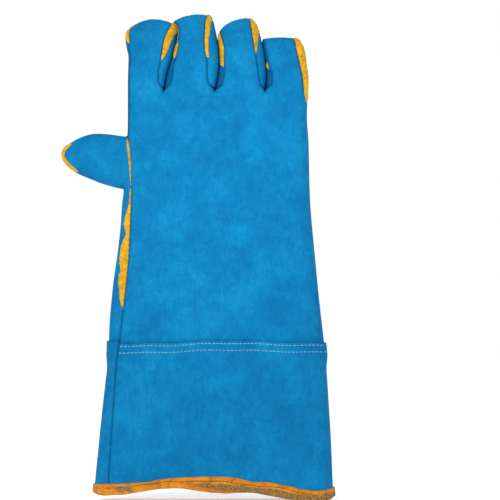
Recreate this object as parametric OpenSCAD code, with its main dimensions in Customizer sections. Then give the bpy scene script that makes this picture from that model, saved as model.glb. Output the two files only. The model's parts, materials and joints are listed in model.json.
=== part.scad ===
// A right-hand gauntlet glove for welding, standing on its hem with the fingers up.
// The back of the hand faces -Y, the palm faces +Y and the thumb points to -X.

/* [Overall] */
// Height of the wrist's flex line above the hem
wrist_z = 210; // [204:1:216]
// Height of the line where the fingers flex
knuckle_z = 356; // [353:1:360]
// Height of the lap seam, where the gauntlet's top edge covers the hand's leather
lap_z = 132; // [126:1:138]

/* [Gauntlet and hand] */
// Width of the gauntlet at the hem
hem_width = 199; // [190:1:206]
// Depth of the gauntlet at the hem
hem_depth = 48; // [44:1:52]
// Depth of the glove at the wrist
wrist_depth = 34; // [32:1:38]
// Depth of the glove at the knuckles
knuckle_depth = 25; // [24:1:28]

/* [Leather and lining] */
// Thickness of the leather panels
leather = 1.5; // [1.2:0.1:1.6]
// Thickness of the fleece lining
fleece = 2.2; // [1.6:0.1:2.4]
// Thickness of the gauntlet's canvas lining
canvas = 0.8; // [0.6:0.1:1]
// Thickness of a welt
welt = 1; // [0.8:0.1:1.2]
// How far a welt stands out of its seam
welt_height = 2.4; // [1.5:0.1:3]
// Thickness of the sewing thread
thread = 0.8; // [0.5:0.1:0.9]
// Height of the hem binding
binding_height = 9; // [8:0.5:12]

/* [Fingers and thumb] */
// Bend of each finger at rest, over its whole length
curl = 38; // [30:1:42]
// Depth of a finger at its root
finger_depth = 23; // [22:1:24]
// Depth of the thumb
thumb_depth = 25; // [22:1:26]

/* [Joints] */
// Wrist bending back
wrist_back_angle = 30; // [10:1:30]
// Wrist bending to the palm
wrist_palm_angle = 40; // [20:1:40]
// Finger bending back
finger_back_angle = 10; // [5:1:12]
// Finger bending to the palm
finger_palm_angle = 60; // [40:1:60]
// Thumb bending back
thumb_back_angle = 12; // [5:1:15]
// Thumb bending to the palm
thumb_palm_angle = 50; // [30:1:50]

/* [Hidden] */

// Clearance on each side of a flex line, and between two layers that are sewn together
joint_gap = 0.3;
layer_gap = 0.35;
// The same between the leather and the fleece, which is loose in it
lining_gap = 0.6;
// Two panels leave this much room at a seam, where the welt passes
seam_room = 1.7;

// Roundness of the sections: 2 is an ellipse, and more is closer to a rectangle
trunk_power = 3;
finger_power = 2.6;

// Left and right edge of the glove by height, from the hem to the knuckles
hem_left_share = 0.434;
hem_left = -hem_width * hem_left_share;
hem_right = hem_width * (1 - hem_left_share);
flat_hem_z = 11;
left_edge = [[0, hem_left], [flat_hem_z, hem_left], [70, -81], [125, -75.5], [180, -71.3],
    [wrist_z, -67.2], [245, -64], [262, -60], [knuckle_z, -58.5]];
right_edge = [[0, hem_right], [flat_hem_z, hem_right], [70, 110.5], [125, 106], [185, 100],
    [250, 93.5], [315, 91.5], [knuckle_z, 92.5]];
half_depth = [[0, hem_depth / 2], [flat_hem_z, hem_depth / 2], [lap_z, 20.5],
    [wrist_z, wrist_depth / 2], [305, 16], [knuckle_z, knuckle_depth / 2]];

// Angles round a section, in degrees from the middle of the back of the hand towards the
// little finger. The right seam lies just behind the edge. The left seam lies in front of it
// up to the thumb, opens round the thumb, and follows the edge above it.
right_seam = 103;
thumb_low_z = 264;
thumb_high_z = 303;
left_seam_back = [[0, -58], [wrist_z, -60], [250, -66], [thumb_low_z, -70],
    [thumb_high_z, -70], [310, -80], [316, -86], [knuckle_z, -86]];
left_seam_palm = [[0, 302], [wrist_z, 300], [250, 294], [257, 272], [thumb_low_z, 250],
    [thumb_high_z, 250], [310, 264], [316, 274], [knuckle_z, 274]];

// Flex lines: height, opening angle on the back, opening angle on the palm
wrist_joint = [wrist_z, wrist_back_angle, wrist_palm_angle];
knuckle_joint = [knuckle_z, finger_back_angle, finger_palm_angle];

// Depths below the outer surface
lining_at = leather + lining_gap;
canvas_at = 2 * leather + 2 * layer_gap;
lap_at = leather + layer_gap / 2;

// The fingers: name, left and right edge at the root, the same near the tip, length
fingers = [
    ["index", -58.5, -27.5, -58.5, -24.6, 49],
    ["middle", -23.6, 17.4, -22, 14, 53.5],
    ["ring", 19, 55.3, 19, 52.5, 50],
    ["little", 58.6, 92.4, 57, 86, 34]
];
finger_names = [for (f = fingers) f[0]];
// Seam angles of a finger with a side wall on both sides; the outermost seams have none
wall_front = 48;
wall_palm = 118;
outer_seam = 86;
// What a finger loses of its half depth, and the length of its round tip to half its width
finger_taper = 1.5;
finger_tip_round = 0.72;
// How far a finger's or the thumb's welt stands out, as a share of the others
finger_welt_share = 0.7;
thumb_welt_share = 0.6;
// No seam takes more than this from a panel, in degrees
most_trim = 8;

// The thumb: hinge line, root, tip, and its middle height at the root and at the tip
thumb_x = -70;
thumb_y = 5;
thumb_root_x = -59.3;
thumb_root_slant = 0.12;
thumb_tip_x = -114.7;
thumb_mid = [[0, 283.5], [0.5, 287.5], [1, 290.5]];
thumb_half_height = [[0, 21.8], [0.35, 20.8], [0.7, 18.5], [1, 16]];
thumb_taper = 1;
thumb_tip_round = 0.85;

// Facets across a trunk panel, a side wall and a finger's panel, and round a closed tube
trunk_steps = 24;
wall_steps = 4;
finger_steps = 12;
thumb_steps = 10;
hem_sides = 48;
digit_sides = 20;

TRUNK_NODES = ["gauntlet_back_panel", "gauntlet_palm_panel", "gauntlet_lining", "hem_binding",
    "hem_thread", "lap_seam_threads", "wrist_back_panel", "wrist_palm_panel", "wrist_side_welt"];
HAND_NODES = ["hand_back_panel", "hand_palm_panel", "hand_lining", "thumb_side_lower_welt",
    "thumb_side_upper_welt", "little_side_welt", "crotch_index_middle", "crotch_middle_ring",
    "crotch_ring_little", "thumb_base_back", "thumb_base_palm"];
THUMB_NODES = ["thumb_back", "thumb_palm", "thumb_tip_welt", "thumb_lining"];
FINGER_PIECES = ["back", "palm", "left_wall", "right_wall", "left_welt", "right_welt", "lining"];

blue = "#1a8fcf";
yellow = "#ebaf0f";
orange = "#e2862a";
cream = "#e8dfc8";
pale = "#bfe6ee";

// Shapes

function signed_power(v, p) = sign(v) * pow(abs(v), p);
function oval(a, b, power, u) =
    [a * signed_power(sin(u), 2 / power), -b * signed_power(cos(u), 2 / power)];
function steps(from, to, n) = [for (i = [0:n]) from + (to - from) * i / n];
function round_angles(n) = [for (i = [0:n - 1]) i * 360 / n];

// A closed sheet between two grids of points, one row of each grid per station
module sheet(outer, inner, ring = false) {
    rows = len(outer);
    cols = len(outer[0]);
    function out(i, j) = i * cols + j % cols;
    function inn(i, j) = rows * cols + i * cols + j % cols;
    last = ring ? cols - 1 : cols - 2;
    skin = [for (i = [0:rows - 2]) for (j = [0:last])
        each [[out(i, j), out(i + 1, j), out(i + 1, j + 1)],
            [out(i, j), out(i + 1, j + 1), out(i, j + 1)],
            [inn(i, j), inn(i + 1, j + 1), inn(i + 1, j)],
            [inn(i, j), inn(i, j + 1), inn(i + 1, j + 1)]]];
    ends = [for (j = [0:last])
        each [[out(0, j), out(0, j + 1), inn(0, j + 1)],
            [out(0, j), inn(0, j + 1), inn(0, j)],
            [out(rows - 1, j + 1), out(rows - 1, j), inn(rows - 1, j)],
            [out(rows - 1, j + 1), inn(rows - 1, j), inn(rows - 1, j + 1)]]];
    sides = ring ? [] : [for (i = [0:rows - 2])
        each [[out(i + 1, 0), out(i, 0), inn(i, 0)],
            [out(i + 1, 0), inn(i, 0), inn(i + 1, 0)],
            [out(i, cols - 1), out(i + 1, cols - 1), inn(i + 1, cols - 1)],
            [out(i, cols - 1), inn(i + 1, cols - 1), inn(i, cols - 1)]]];
    points = concat([for (row = outer) each row], [for (row = inner) each row]);
    polyhedron(points, concat(skin, ends, sides), convexity = 6);
}

// The trunk, from the hem to the knuckles. A station is a height, or [joint, side] for the end
// at a flex line, with side 1 above the line and -1 below it.

function trunk_level(z, u, d) =
    let (l = lookup(z, left_edge), r = lookup(z, right_edge),
        p = oval((r - l) / 2 - d, lookup(z, half_depth) - d, trunk_power, u))
    [(l + r) / 2 + p[0], p[1], z];
function cut_offset(y, joint) =
    joint_gap + abs(y) * tan((y < 0 ? joint[1] : joint[2]) / 2);
function trunk_point(station, u, d) =
    is_num(station) ? trunk_level(station, u, d)
    : let (joint = station[0], p = trunk_level(joint[0], u, d))
        [p[0], p[1], joint[0] + station[1] * cut_offset(p[1], joint)];
function station_z(station) = is_num(station) ? station : station[0][0];

// Half of the room at a seam, in degrees at that place
function seam_half_angle(station, u) =
    seam_room / 2 / norm(trunk_point(station, u + 0.5, 0) - trunk_point(station, u - 0.5, 0));

function trunk_grid(stations, from, to, depths, back) = [for (i = [0:len(stations) - 1])
    let (st = stations[i], z = station_z(st),
        a = lookup(z, from), b = lookup(z, to),
        trim_a = seam_half_angle(st, a), trim_b = seam_half_angle(st, b))
    [for (u = steps(a + trim_a, b - trim_b, trunk_steps)) trunk_point(st, u, depths[i])]];

module trunk_panel(stations, from, to, depths, thick) {
    inner = [for (d = depths) d + thick];
    sheet(trunk_grid(stations, from, to, depths), trunk_grid(stations, from, to, inner));
}

right_line = [[0, right_seam], [knuckle_z, right_seam]];
function same(value, list) = [for (x = list) value];

gauntlet_stations = [2, flat_hem_z, 70, 100, 125, lap_z];
wrist_stations = [lap_z - 12, lap_z + 1, lap_z + 8, 160, 180, [wrist_joint, -1]];
wrist_depths = [lap_at, lap_at, 0, 0, 0, 0];
hand_stations = [[wrist_joint, 1], 234, 250, 257, thumb_low_z, thumb_high_z, 310, 316, 334,
    [knuckle_joint, -1]];

module gauntlet_back_panel()
    color(blue) trunk_panel(gauntlet_stations, left_seam_back, right_line,
        same(0, gauntlet_stations), leather);
module gauntlet_palm_panel()
    color(blue) trunk_panel(gauntlet_stations, right_line, left_seam_palm,
        same(0, gauntlet_stations), leather);
module wrist_back_panel()
    color(blue) trunk_panel(wrist_stations, left_seam_back, right_line, wrist_depths, leather);
module wrist_palm_panel()
    color(blue) trunk_panel(wrist_stations, right_line, left_seam_palm, wrist_depths, leather);
module hand_back_panel()
    color(blue) trunk_panel(hand_stations, left_seam_back, right_line,
        same(0, hand_stations), leather);
module hand_palm_panel()
    color(blue) trunk_panel(hand_stations, right_line, left_seam_palm,
        same(0, hand_stations), leather);

// The canvas tube inside the gauntlet
module gauntlet_lining() {
    stations = [2, flat_hem_z, 70, 100, 125, 160, 180, [wrist_joint, -1]];
    angles = round_angles(hem_sides);
    color(cream) sheet(
        [for (st = stations) [for (u = angles) trunk_point(st, u, canvas_at)]],
        [for (st = stations) [for (u = angles) trunk_point(st, u, canvas_at + canvas)]], true);
}

// The fleece inside the hand, open round the thumb and at the knuckles
module hand_lining() {
    stations = [[wrist_joint, 1], 234, 250, 257, thumb_low_z, thumb_high_z, 310, 316, 334, 342];
    from = [[0, -88], [250, -88], [thumb_low_z, -66], [thumb_high_z, -66], [316, -88]];
    to = [[0, 270], [250, 270], [thumb_low_z, 246], [thumb_high_z, 246], [316, 270]];
    function grid(d) = [for (st = stations)
        [for (u = steps(lookup(station_z(st), from), lookup(station_z(st), to), 26))
            trunk_point(st, u, d)]];
    color(cream) sheet(grid(lining_at), grid(lining_at + fleece));
}

// The hem: a folded strip that holds the edges of the leather and the canvas

function hem_outline(d) = [for (u = round_angles(hem_sides))
    let (p = trunk_level(0, u, d)) [p[0], p[1]]];
module hem_ring(outer, inner, height)
    linear_extrude(height) difference() {
        polygon(hem_outline(outer));
        polygon(hem_outline(inner));
    }
binding_out = -leather;
slot_in = canvas_at + canvas + layer_gap;
module hem_binding() {
    fold = 1.2;
    color(orange) difference() {
        hem_ring(binding_out, slot_in + fold, binding_height);
        translate([0, 0, fold]) hem_ring(-layer_gap, slot_in, binding_height);
    }
}
module hem_thread() {
    row_z = 6;
    color(pale) translate([0, 0, row_z])
        hem_ring(binding_out - layer_gap / 2 - thread, binding_out - layer_gap / 2, thread);
}

// Two rows of thread below the lap's edge, on both sides of the glove
module lap_seam_threads() {
    rows = [lap_z - 2.2, lap_z - 7.7];
    skim = -layer_gap / 2;
    for (row = rows, side = [0, 1]) {
        st = [row - thread / 2, row + thread / 2];
        from = side == 0 ? left_seam_back : right_line;
        to = side == 0 ? right_line : left_seam_palm;
        color(pale) trunk_panel(st, from, to, same(skim - thread, st), thread);
    }
}

// Welts: strips that stand in the room between two panels

function unit(v) = v / norm(v);
// Corners of a welt's section at a point: inner and outer edge on each side
function welt_section(p, along, out, low, high) =
    [p + along * welt / 2 + out * low, p + along * welt / 2 + out * high,
        p - along * welt / 2 + out * high, p - along * welt / 2 + out * low];
module welt_strip(sections) {
    n = len(sections);
    sides = [for (i = [0:n - 2]) for (j = [0:3])
        let (k = (j + 1) % 4, a = i * 4 + j, b = i * 4 + k, c = a + 4, d = b + 4)
        each [[a, c, d], [a, d, b]]];
    last = 4 * (n - 1);
    ends = [[0, 1, 2], [0, 2, 3], [last, last + 2, last + 1], [last, last + 3, last + 2]];
    color(yellow) polyhedron([for (s = sections) each s], concat(sides, ends), convexity = 6);
}
// It runs out flush at a flex line, where the ends would meet
module trunk_welt(stations, seam) {
    welt_strip([for (st = stations)
        let (u = lookup(station_z(st), seam), p = trunk_point(st, u, 0),
            q = trunk_point(st, u, leather), out = unit([p[0] - q[0], p[1] - q[1], 0]))
        welt_section(p, [-out[1], out[0], 0], out, -leather, is_num(st) ? welt_height : 0)]);
}
module wrist_side_welt() trunk_welt([160, 180, [wrist_joint, -1]], left_seam_back);
module thumb_side_lower_welt() trunk_welt([[wrist_joint, 1], 234, 250], left_seam_back);
module thumb_side_upper_welt() trunk_welt([316, 334, [knuckle_joint, -1]], left_seam_back);
module little_side_welt()
    trunk_welt([for (st = hand_stations) if (is_num(st)) st], right_line);

// Small bridges between the back and the palm, where two fingers part
module crotch(i) {
    x0 = fingers[i][2];
    x1 = fingers[i + 1][1];
    low_z = 8.4;
    slope = 18;
    color(blue) translate([(x0 + x1) / 2, 0, knuckle_z - low_z]) rotate([-slope, 0, 0])
        cube([x1 - x0 + 2, knuckle_depth - 2 * leather - 4, leather], center = true);
}
module crotch_index_middle() crotch(0);
module crotch_middle_ring() crotch(1);
module crotch_ring_little() crotch(2);

// A digit's own frame: across, deep, along; s runs from 0 at its flex line to 1 at its tip

tip_close = 0.05;
function tip_shape(s, cap_start) =
    s <= cap_start ? 1
    : max(tip_close, pow(max(0, 1 - pow((s - cap_start) / (1 - cap_start), 2.4)), 1 / 2.4));

function finger_point(f, s, u, d) =
    let (length = f[5] - d, mid0 = (f[1] + f[2]) / 2, mid1 = (f[3] + f[4]) / 2,
        half = (f[2] - f[1]) / 2 * (1 - s) + (f[4] - f[3]) / 2 * s,
        cap = tip_shape(s, 1 - half * finger_tip_round / f[5]),
        deep = (finger_depth / 2 - finger_taper * s - d) * cap,
        p = oval((half - d) * cap, deep, finger_power, u),
        turn = curl * s, radius = length * 180 / PI / curl)
    [mid0 * (1 - s) + mid1 * s + p[0],
        radius * (1 - cos(turn)) + p[1] * cos(turn),
        knuckle_z + radius * sin(turn) - p[1] * sin(turn)];
function finger_row(f, s, u, d) =
    let (p = finger_point(f, s, u, d))
    s > 0 ? p : [p[0], p[1], knuckle_z + cut_offset(p[1], knuckle_joint)];
finger_stations = [0, 0.32, 0.55, 0.74, 0.86, 0.94, 0.985, 1];

function finger_seam_half(f, s, u) =
    seam_room / 2 / norm(finger_row(f, s, u + 0.5, 0) - finger_row(f, s, u - 0.5, 0));
function finger_trim(f, s, u) = min(most_trim, finger_seam_half(f, s, u));
function finger_grid(f, from, to, n, d) = [for (s = finger_stations)
    [for (u = steps(from + finger_trim(f, s, from), to - finger_trim(f, s, to), n))
        finger_row(f, s, u, d)]];
module finger_panel(f, from, to, n)
    color(blue) sheet(finger_grid(f, from, to, n, 0), finger_grid(f, from, to, n, leather));
module finger_welt(f, u) {
    welt_strip([for (s = [0, 0.32, 0.55, 0.74, 0.86])
        let (p = finger_row(f, s, u, 0), in = p - finger_row(f, s, u, leather),
            up = [0, sin(curl * s), cos(curl * s)], out = unit(in - up * (in * up)))
        welt_section(p, cross(up, out), out, -leather, welt_height * finger_welt_share)]);
}
module finger_lining(f) {
    angles = round_angles(digit_sides);
    function grid(d) = [for (s = finger_stations) [for (u = angles) finger_row(f, s, u, d)]];
    color(cream) sheet(grid(lining_at), grid(lining_at + fleece), true);
}
module finger(f, piece) {
    first = f[0] == "index";
    last = f[0] == "little";
    left_front = first ? -outer_seam : -wall_front - 12;
    left_palm = first ? 360 - outer_seam : 360 - wall_palm;
    right_front = last ? outer_seam : wall_front;
    right_palm = last ? outer_seam : wall_palm;
    if (piece == "back") finger_panel(f, left_front, right_front, finger_steps);
    if (piece == "palm") finger_panel(f, right_palm, left_palm, finger_steps);
    if (piece == "left_wall") finger_panel(f, left_palm, 360 + left_front, wall_steps);
    if (piece == "right_wall") finger_panel(f, right_front, right_palm, wall_steps);
    if (piece == "left_welt") finger_welt(f, left_front);
    if (piece == "right_welt") finger_welt(f, right_front);
    if (piece == "lining") finger_lining(f);
}

// The thumb points to -X. Its angles run from the middle of its back upwards.

function thumb_point(s, u, d) =
    let (length = thumb_x - thumb_tip_x - d, half = lookup(s, thumb_half_height),
        cap = tip_shape(s, 1 - half * thumb_tip_round / (thumb_x - thumb_tip_x)),
        deep = (thumb_depth / 2 - thumb_taper * s - d) * cap,
        p = oval((half - d) * cap, deep, finger_power, u))
    [thumb_x - length * s, thumb_y + p[1], lookup(s, thumb_mid) + p[0]];
thumb_joint = [0, thumb_back_angle, thumb_palm_angle];
function thumb_row(s, u, d) =
    let (p = thumb_point(max(s, 0), u, d), offset = cut_offset(p[1] - thumb_y, thumb_joint))
    s > 0 ? p : s == 0 ? [thumb_x - offset, p[1], p[2]]
    : s == -1 ? [thumb_x + offset, p[1], p[2]]
    : [thumb_root_x + (p[1] - thumb_y + thumb_depth / 2) * thumb_root_slant, p[1], p[2]];
thumb_stations = [0, 0.25, 0.5, 0.68, 0.82, 0.92, 0.98, 1];
thumb_base_stations = [-2, -1];
function thumb_seam_half(s, u) =
    seam_room / 2 / norm(thumb_row(s, u + 0.5, 0) - thumb_row(s, u - 0.5, 0));
function thumb_trim(s, u) = min(most_trim, thumb_seam_half(s, u));
function thumb_grid(stations, from, to, d) = [for (s = stations)
    [for (u = steps(from + thumb_trim(s, from), to - thumb_trim(s, to), thumb_steps))
        thumb_row(s, u, d)]];
module thumb_panel(stations, from, to)
    color(blue) sheet(thumb_grid(stations, from, to, 0), thumb_grid(stations, from, to, leather));
module thumb_back() thumb_panel(thumb_stations, -90, 90);
module thumb_palm() thumb_panel(thumb_stations, 90, 270);
module thumb_base_back() thumb_panel(thumb_base_stations, -90, 90);
module thumb_base_palm() thumb_panel(thumb_base_stations, 90, 270);
module thumb_tip_welt() {
    for (u = [-90, 90])
        welt_strip([for (s = [0.68, 0.82, 0.92, 0.96])
            let (p = thumb_row(s, u, 0))
            welt_section(p, [0, sign(u), 0], [0, 0, sign(u)], -leather,
                welt_height * thumb_welt_share)]);
}
module thumb_lining() {
    angles = round_angles(digit_sides);
    function grid(d) = [for (s = thumb_stations) [for (u = angles) thumb_row(s, u, d)]];
    color(cream) sheet(grid(lining_at), grid(lining_at + fleece), true);
}

gauntlet_back_panel();
gauntlet_palm_panel();
gauntlet_lining();
hem_binding();
hem_thread();
lap_seam_threads();
wrist_back_panel();
wrist_palm_panel();
wrist_side_welt();
hand_back_panel();
hand_palm_panel();
hand_lining();
thumb_side_lower_welt();
thumb_side_upper_welt();
little_side_welt();
crotch_index_middle();
crotch_middle_ring();
crotch_ring_little();
thumb_base_back();
thumb_base_palm();
thumb_back();
thumb_palm();
thumb_tip_welt();
thumb_lining();
for (f = fingers, piece = FINGER_PIECES)
    finger(f, piece);
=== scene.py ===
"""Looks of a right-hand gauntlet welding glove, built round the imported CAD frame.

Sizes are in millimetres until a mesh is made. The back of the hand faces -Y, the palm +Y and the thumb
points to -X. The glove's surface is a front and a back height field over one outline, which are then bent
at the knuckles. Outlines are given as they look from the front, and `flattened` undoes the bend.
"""

import json
import math

import bpy
import numpy as np
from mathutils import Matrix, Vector, noise

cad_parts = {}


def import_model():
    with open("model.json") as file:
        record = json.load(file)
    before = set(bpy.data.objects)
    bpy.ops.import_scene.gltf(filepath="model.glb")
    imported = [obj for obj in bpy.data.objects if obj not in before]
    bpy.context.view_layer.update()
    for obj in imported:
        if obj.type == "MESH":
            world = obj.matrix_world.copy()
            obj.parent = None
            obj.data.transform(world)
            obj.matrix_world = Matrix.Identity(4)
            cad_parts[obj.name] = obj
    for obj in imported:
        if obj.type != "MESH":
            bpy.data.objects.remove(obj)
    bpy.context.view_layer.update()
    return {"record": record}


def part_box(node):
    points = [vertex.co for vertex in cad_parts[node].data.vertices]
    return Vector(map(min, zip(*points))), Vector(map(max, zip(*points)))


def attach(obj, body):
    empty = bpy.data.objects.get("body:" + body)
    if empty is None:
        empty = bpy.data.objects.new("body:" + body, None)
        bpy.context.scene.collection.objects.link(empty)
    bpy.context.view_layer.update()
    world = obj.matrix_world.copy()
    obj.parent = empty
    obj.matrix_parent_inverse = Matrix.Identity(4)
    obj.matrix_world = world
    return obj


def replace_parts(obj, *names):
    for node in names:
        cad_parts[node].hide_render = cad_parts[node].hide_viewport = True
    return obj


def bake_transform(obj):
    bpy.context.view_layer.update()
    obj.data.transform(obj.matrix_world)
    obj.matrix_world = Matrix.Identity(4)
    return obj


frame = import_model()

MM = 0.001
JOINTS = {j["name"]: j for j in frame["record"]["behaviour"]["joints"]}
FRONT, BACK = -1, 1


def top_of(node):
    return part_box(node)[1][2] / MM


def bottom_of(node):
    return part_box(node)[0][2] / MM


# ---------------------------------------------------------------- places taken from the frame

WRIST_Z = JOINTS["wrist_bend"]["pos_m"][2] / MM
KNUCKLE_Z = JOINTS["index_bend"]["pos_m"][2] / MM
LAP_Z = top_of("gauntlet_back_panel")
UNDERLAP_Z = bottom_of("wrist_back_panel")
SEAM_ROWS = (LAP_Z - 2.2, LAP_Z - 7.7)
CUT_Z = KNUCKLE_Z - 14
BEND_Z = KNUCKLE_Z - 8
BEND_RADIUS = 80.0
LEATHER = 1.3
FLEECE_THICK = 0.8
# How far the fleece lies inside the leather's outer face and its outline
LINING_DEEP, LINING_IN, THUMB_LINING_IN = 2.5, 4.2, 3.4
CANVAS_THICK, CANVAS_DEEP, CANVAS_ROWS = 0.8, 1.9, 60
# How near a seam or an outline has to be to shape the leather, and the distance that stands for further away
REACH, FAR = 19.0, 9.0
THUMB_LOW_Z, THUMB_HIGH_Z = 261.0, 305.0

# ---------------------------------------------------------------- outlines, as seen from the front

LEFT_EDGE = [(-86.8, 0), (-86.6, 13), (-83.8, 43), (-80.6, 74), (-77.9, 98), (-75.2, 122), (-74.3, 148),
             (-71.3, 181), (-67.9, 205), (-65.2, 228), (-63.8, 248), (-62.4, THUMB_LOW_Z)]
LEFT_SEAM = [(-74.4, 0), (-73.8, 25), (-71.2, 66), (-67.9, 112), (-64.6, 138), (-61.3, 168), (-58, 200),
             (-56, 240), (-55.6, 262), (-55.9, 282), (-56.6, 294), (-58.4, 304), (-58.2, 312), (-58, CUT_Z)]
RIGHT_EDGE = [(114.2, 0), (113.2, 14), (112, 46), (110, 80), (107.0, 122), (102.3, 164), (98.2, 206),
              (94.3, 250), (92.9, 300), (91.6, 320), (92.1, CUT_Z)]
THUMB_EDGE = [(-62.4, THUMB_LOW_Z), (-70, 262.6), (-81.5, 266), (-92, 270.2), (-100.6, 273.9), (-109, 280),
              (-113.9, 286.5), (-114.3, 292), (-112.4, 296), (-107.9, 299.6), (-99, 304.6), (-88.3, 307.6),
              (-76, 307.4), (-66, 306), (-59.3, THUMB_HIGH_Z)]
UPPER_LEFT_EDGE = [(-59.3, THUMB_HIGH_Z), (-58.9, 318), (-58.9, 332), (-58.9, CUT_Z)]
HEM_LOW = [(-90, 8.6), (-86, 6.4), (-79, 5.4), (-57, 7.2), (-37, 10.4), (-15, 11.6), (3, 9.4),
           (23, 7.6), (43, 8.2),
           (57, 6.2), (77, 2.4), (92, 0.5), (108, 1.2), (113, 3), (116, 6)]
HEM_HIGH = [(-90, 14.2), (-66, 15.2), (-44, 16.6), (-24, 19.8), (8, 21.2), (26, 20.9), (38, 19), (48, 16.7),
            (61, 16.2), (77, 13.2), (90, 10.2), (101, 9.2), (110, 10), (116, 12)]

# Lowest points of the gaps between the fingers
CROTCHES = [(-28.3, 344.6), (14.4, 344.6), (56.4, 344.8)]


class Finger:
    """An outline from its lower left to its lower right end, and how far in the front seam runs.

    corners are the shares of the outline's length at the tip's two corners.
    """

    def __init__(self, name, outline, seam_in, corners):
        self.name, self.outline, self.seam_in, self.corners = name, outline, seam_in, corners


# Where two neighbouring fingers touch, from the crotch up
BETWEEN = [
    [(-27.6, 349), (-26, 357), (-22.8, 367), (-20, 377), (-18.4, 386), (-17.9, 392), (-19.2, 396),
     (-22, 399)],
    [(15.6, 349), (17.2, 357), (18.2, 366), (17.9, 375), (17, 382), (16.2, 387)],
    [(57, 349), (57.6, 355), (57.4, 362), (56.2, 371), (55, 378), (53.6, 385)],
]

FINGERS = [
    Finger("index",
           [(-58.9, CUT_Z), (-58.9, 352), (-58.6, 363), (-58.6, 373), (-60.2, 380), (-61.2, 386),
            (-60.6, 391),
            (-57, 395.6), (-50, 399.6), (-41.5, 402), (-33, 401.9), (-26.5, 400.6)]
           + BETWEEN[0][::-1] + [CROTCHES[0]],
           [(0, 0.9), (0.23, 1.2), (0.27, 3.4), (0.33, 3.2), (0.37, 1.6), (0.44, 1.1), (0.56, 1), (0.6, 1),
            (0.63, 2.6), (0.66, 5.2), (0.7, 7.8), (0.76, 9.4), (0.84, 8.2), (0.92, 7), (0.97, 5.4), (1, 0)],
           (0.36, 0.63)),
    Finger("middle",
           [CROTCHES[0]] + BETWEEN[0] + [(-19.5, 401.5), (-13, 404.1), (-5, 405.6), (3, 405.5), (9, 404.5),
                                         (13, 400.8), (14.6, 394.4)] + BETWEEN[1][::-1] + [CROTCHES[1]],
           [(0, 0), (0.03, 4.4), (0.06, 5.4), (0.12, 3.6), (0.24, 3), (0.28, 1.3), (0.45, 1.1), (0.56, 1.1),
            (0.6, 4.2), (0.64, 7.4), (0.68, 9.2), (0.74, 11.4), (0.8, 12), (0.86, 10.6), (0.93, 9.4),
            (0.97, 7.6), (0.99, 4), (1, 0)], (0.38, 0.61)),
    Finger("ring",
           [CROTCHES[1]] + BETWEEN[1] + [(17.4, 391.8), (21, 396), (28, 399.6), (37, 401.9), (43.8, 401.8),
                                         (48.8, 397.5), (51.9, 391.6)] + BETWEEN[2][::-1] + [CROTCHES[2]],
           [(0, 0), (0.03, 4.6), (0.08, 5), (0.12, 4.4), (0.16, 3.7), (0.23, 4.3), (0.28, 3.5), (0.32, 2.4),
            (0.36, 1.3), (0.5, 1.1), (0.54, 1.3), (0.58, 3.6), (0.63, 6.6), (0.68, 7.5), (0.8, 7.9),
            (0.92, 7), (0.96, 5.8), (0.985, 4), (1, 0)], (0.38, 0.61)),
    Finger("little",
           [CROTCHES[2]] + BETWEEN[2] + [(57.4, 386.5), (65, 387.4), (76, 387.3), (84.2, 385.7), (89, 379.5),
                                         (91, 367), (92.5, 355), (92.1, CUT_Z)],
           [(0, 0), (0.03, 4.4), (0.06, 5.2), (0.1, 4.4), (0.14, 2), (0.2, 1.2), (0.45, 1.1), (0.54, 1.2),
            (0.58, 2.8), (0.62, 5.2), (0.67, 7.2), (0.72, 7.2), (0.77, 6.3), (0.84, 5.5), (0.9, 4.8),
            (0.95, 4), (1, 3.2)], (0.36, 0.62)),
]

# ---------------------------------------------------------------- curves


def smooth_line(points, spacing=1.2):
    """A Catmull-Rom curve through the points, as an even polyline."""
    p = np.array(points, float)
    p = np.vstack([2 * p[0] - p[1], p, 2 * p[-1] - p[-2]])
    out = []
    for a, b, c, d in zip(p, p[1:], p[2:], p[3:]):
        t = np.linspace(0, 1, 24, endpoint=False)[:, None]
        out.append(0.5 * (2 * b + (c - a) * t + (2 * a - 5 * b + 4 * c - d) * t ** 2
                          + (3 * b - a - 3 * c + d) * t ** 3))
    line = np.vstack(out + [p[-2]])
    return along(line, max(8, int(length_of(line) / spacing)))


def length_of(line):
    return float(np.linalg.norm(np.diff(line, axis=0), axis=1).sum())


def at_shares(line, shares):
    """Points of a polyline at shares of its length."""
    run = np.concatenate([[0], np.cumsum(np.linalg.norm(np.diff(line, axis=0), axis=1))])
    s = np.asarray(shares) * run[-1]
    return np.stack([np.interp(s, run, line[:, i]) for i in range(line.shape[1])], -1)


def along(line, steps):
    return at_shares(line, np.linspace(0, 1, steps + 1))


def table(pairs, at):
    xs, ys = zip(*pairs)
    return np.interp(at, xs, ys)


def smoothstep(a, b, x):
    t = np.clip((np.asarray(x, float) - a) / (b - a), 0, 1)
    return t * t * (3 - 2 * t)


def flattened(line):
    """The line with each height as seen from the front turned into a height along the flat glove."""
    out = np.array(line, float)
    over = np.clip((out[:, 1] - BEND_Z) / BEND_RADIUS, 0, 0.95)
    out[:, 1] = np.where(over > 0, BEND_Z + BEND_RADIUS * np.arcsin(over), out[:, 1])
    return out


def inward(line, amounts):
    """The line moved to its right-hand side, which is the inside of an outline that runs clockwise."""
    d = np.gradient(line, axis=0)
    d /= np.linalg.norm(d, axis=1)[:, None] + 1e-9
    return line + np.stack([d[:, 1], -d[:, 0]], -1) * np.asarray(amounts)[:, None]


def edge_x(points):
    line = smooth_line(points)
    return lambda z: np.interp(z, line[:, 1], line[:, 0])


left_edge = edge_x(LEFT_EDGE + UPPER_LEFT_EDGE)
left_seam = edge_x(LEFT_SEAM)
right_edge = edge_x(RIGHT_EDGE)
RIGHT_SEAM_IN = 3.2
BACK_SEAM_IN = 5.5


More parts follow.
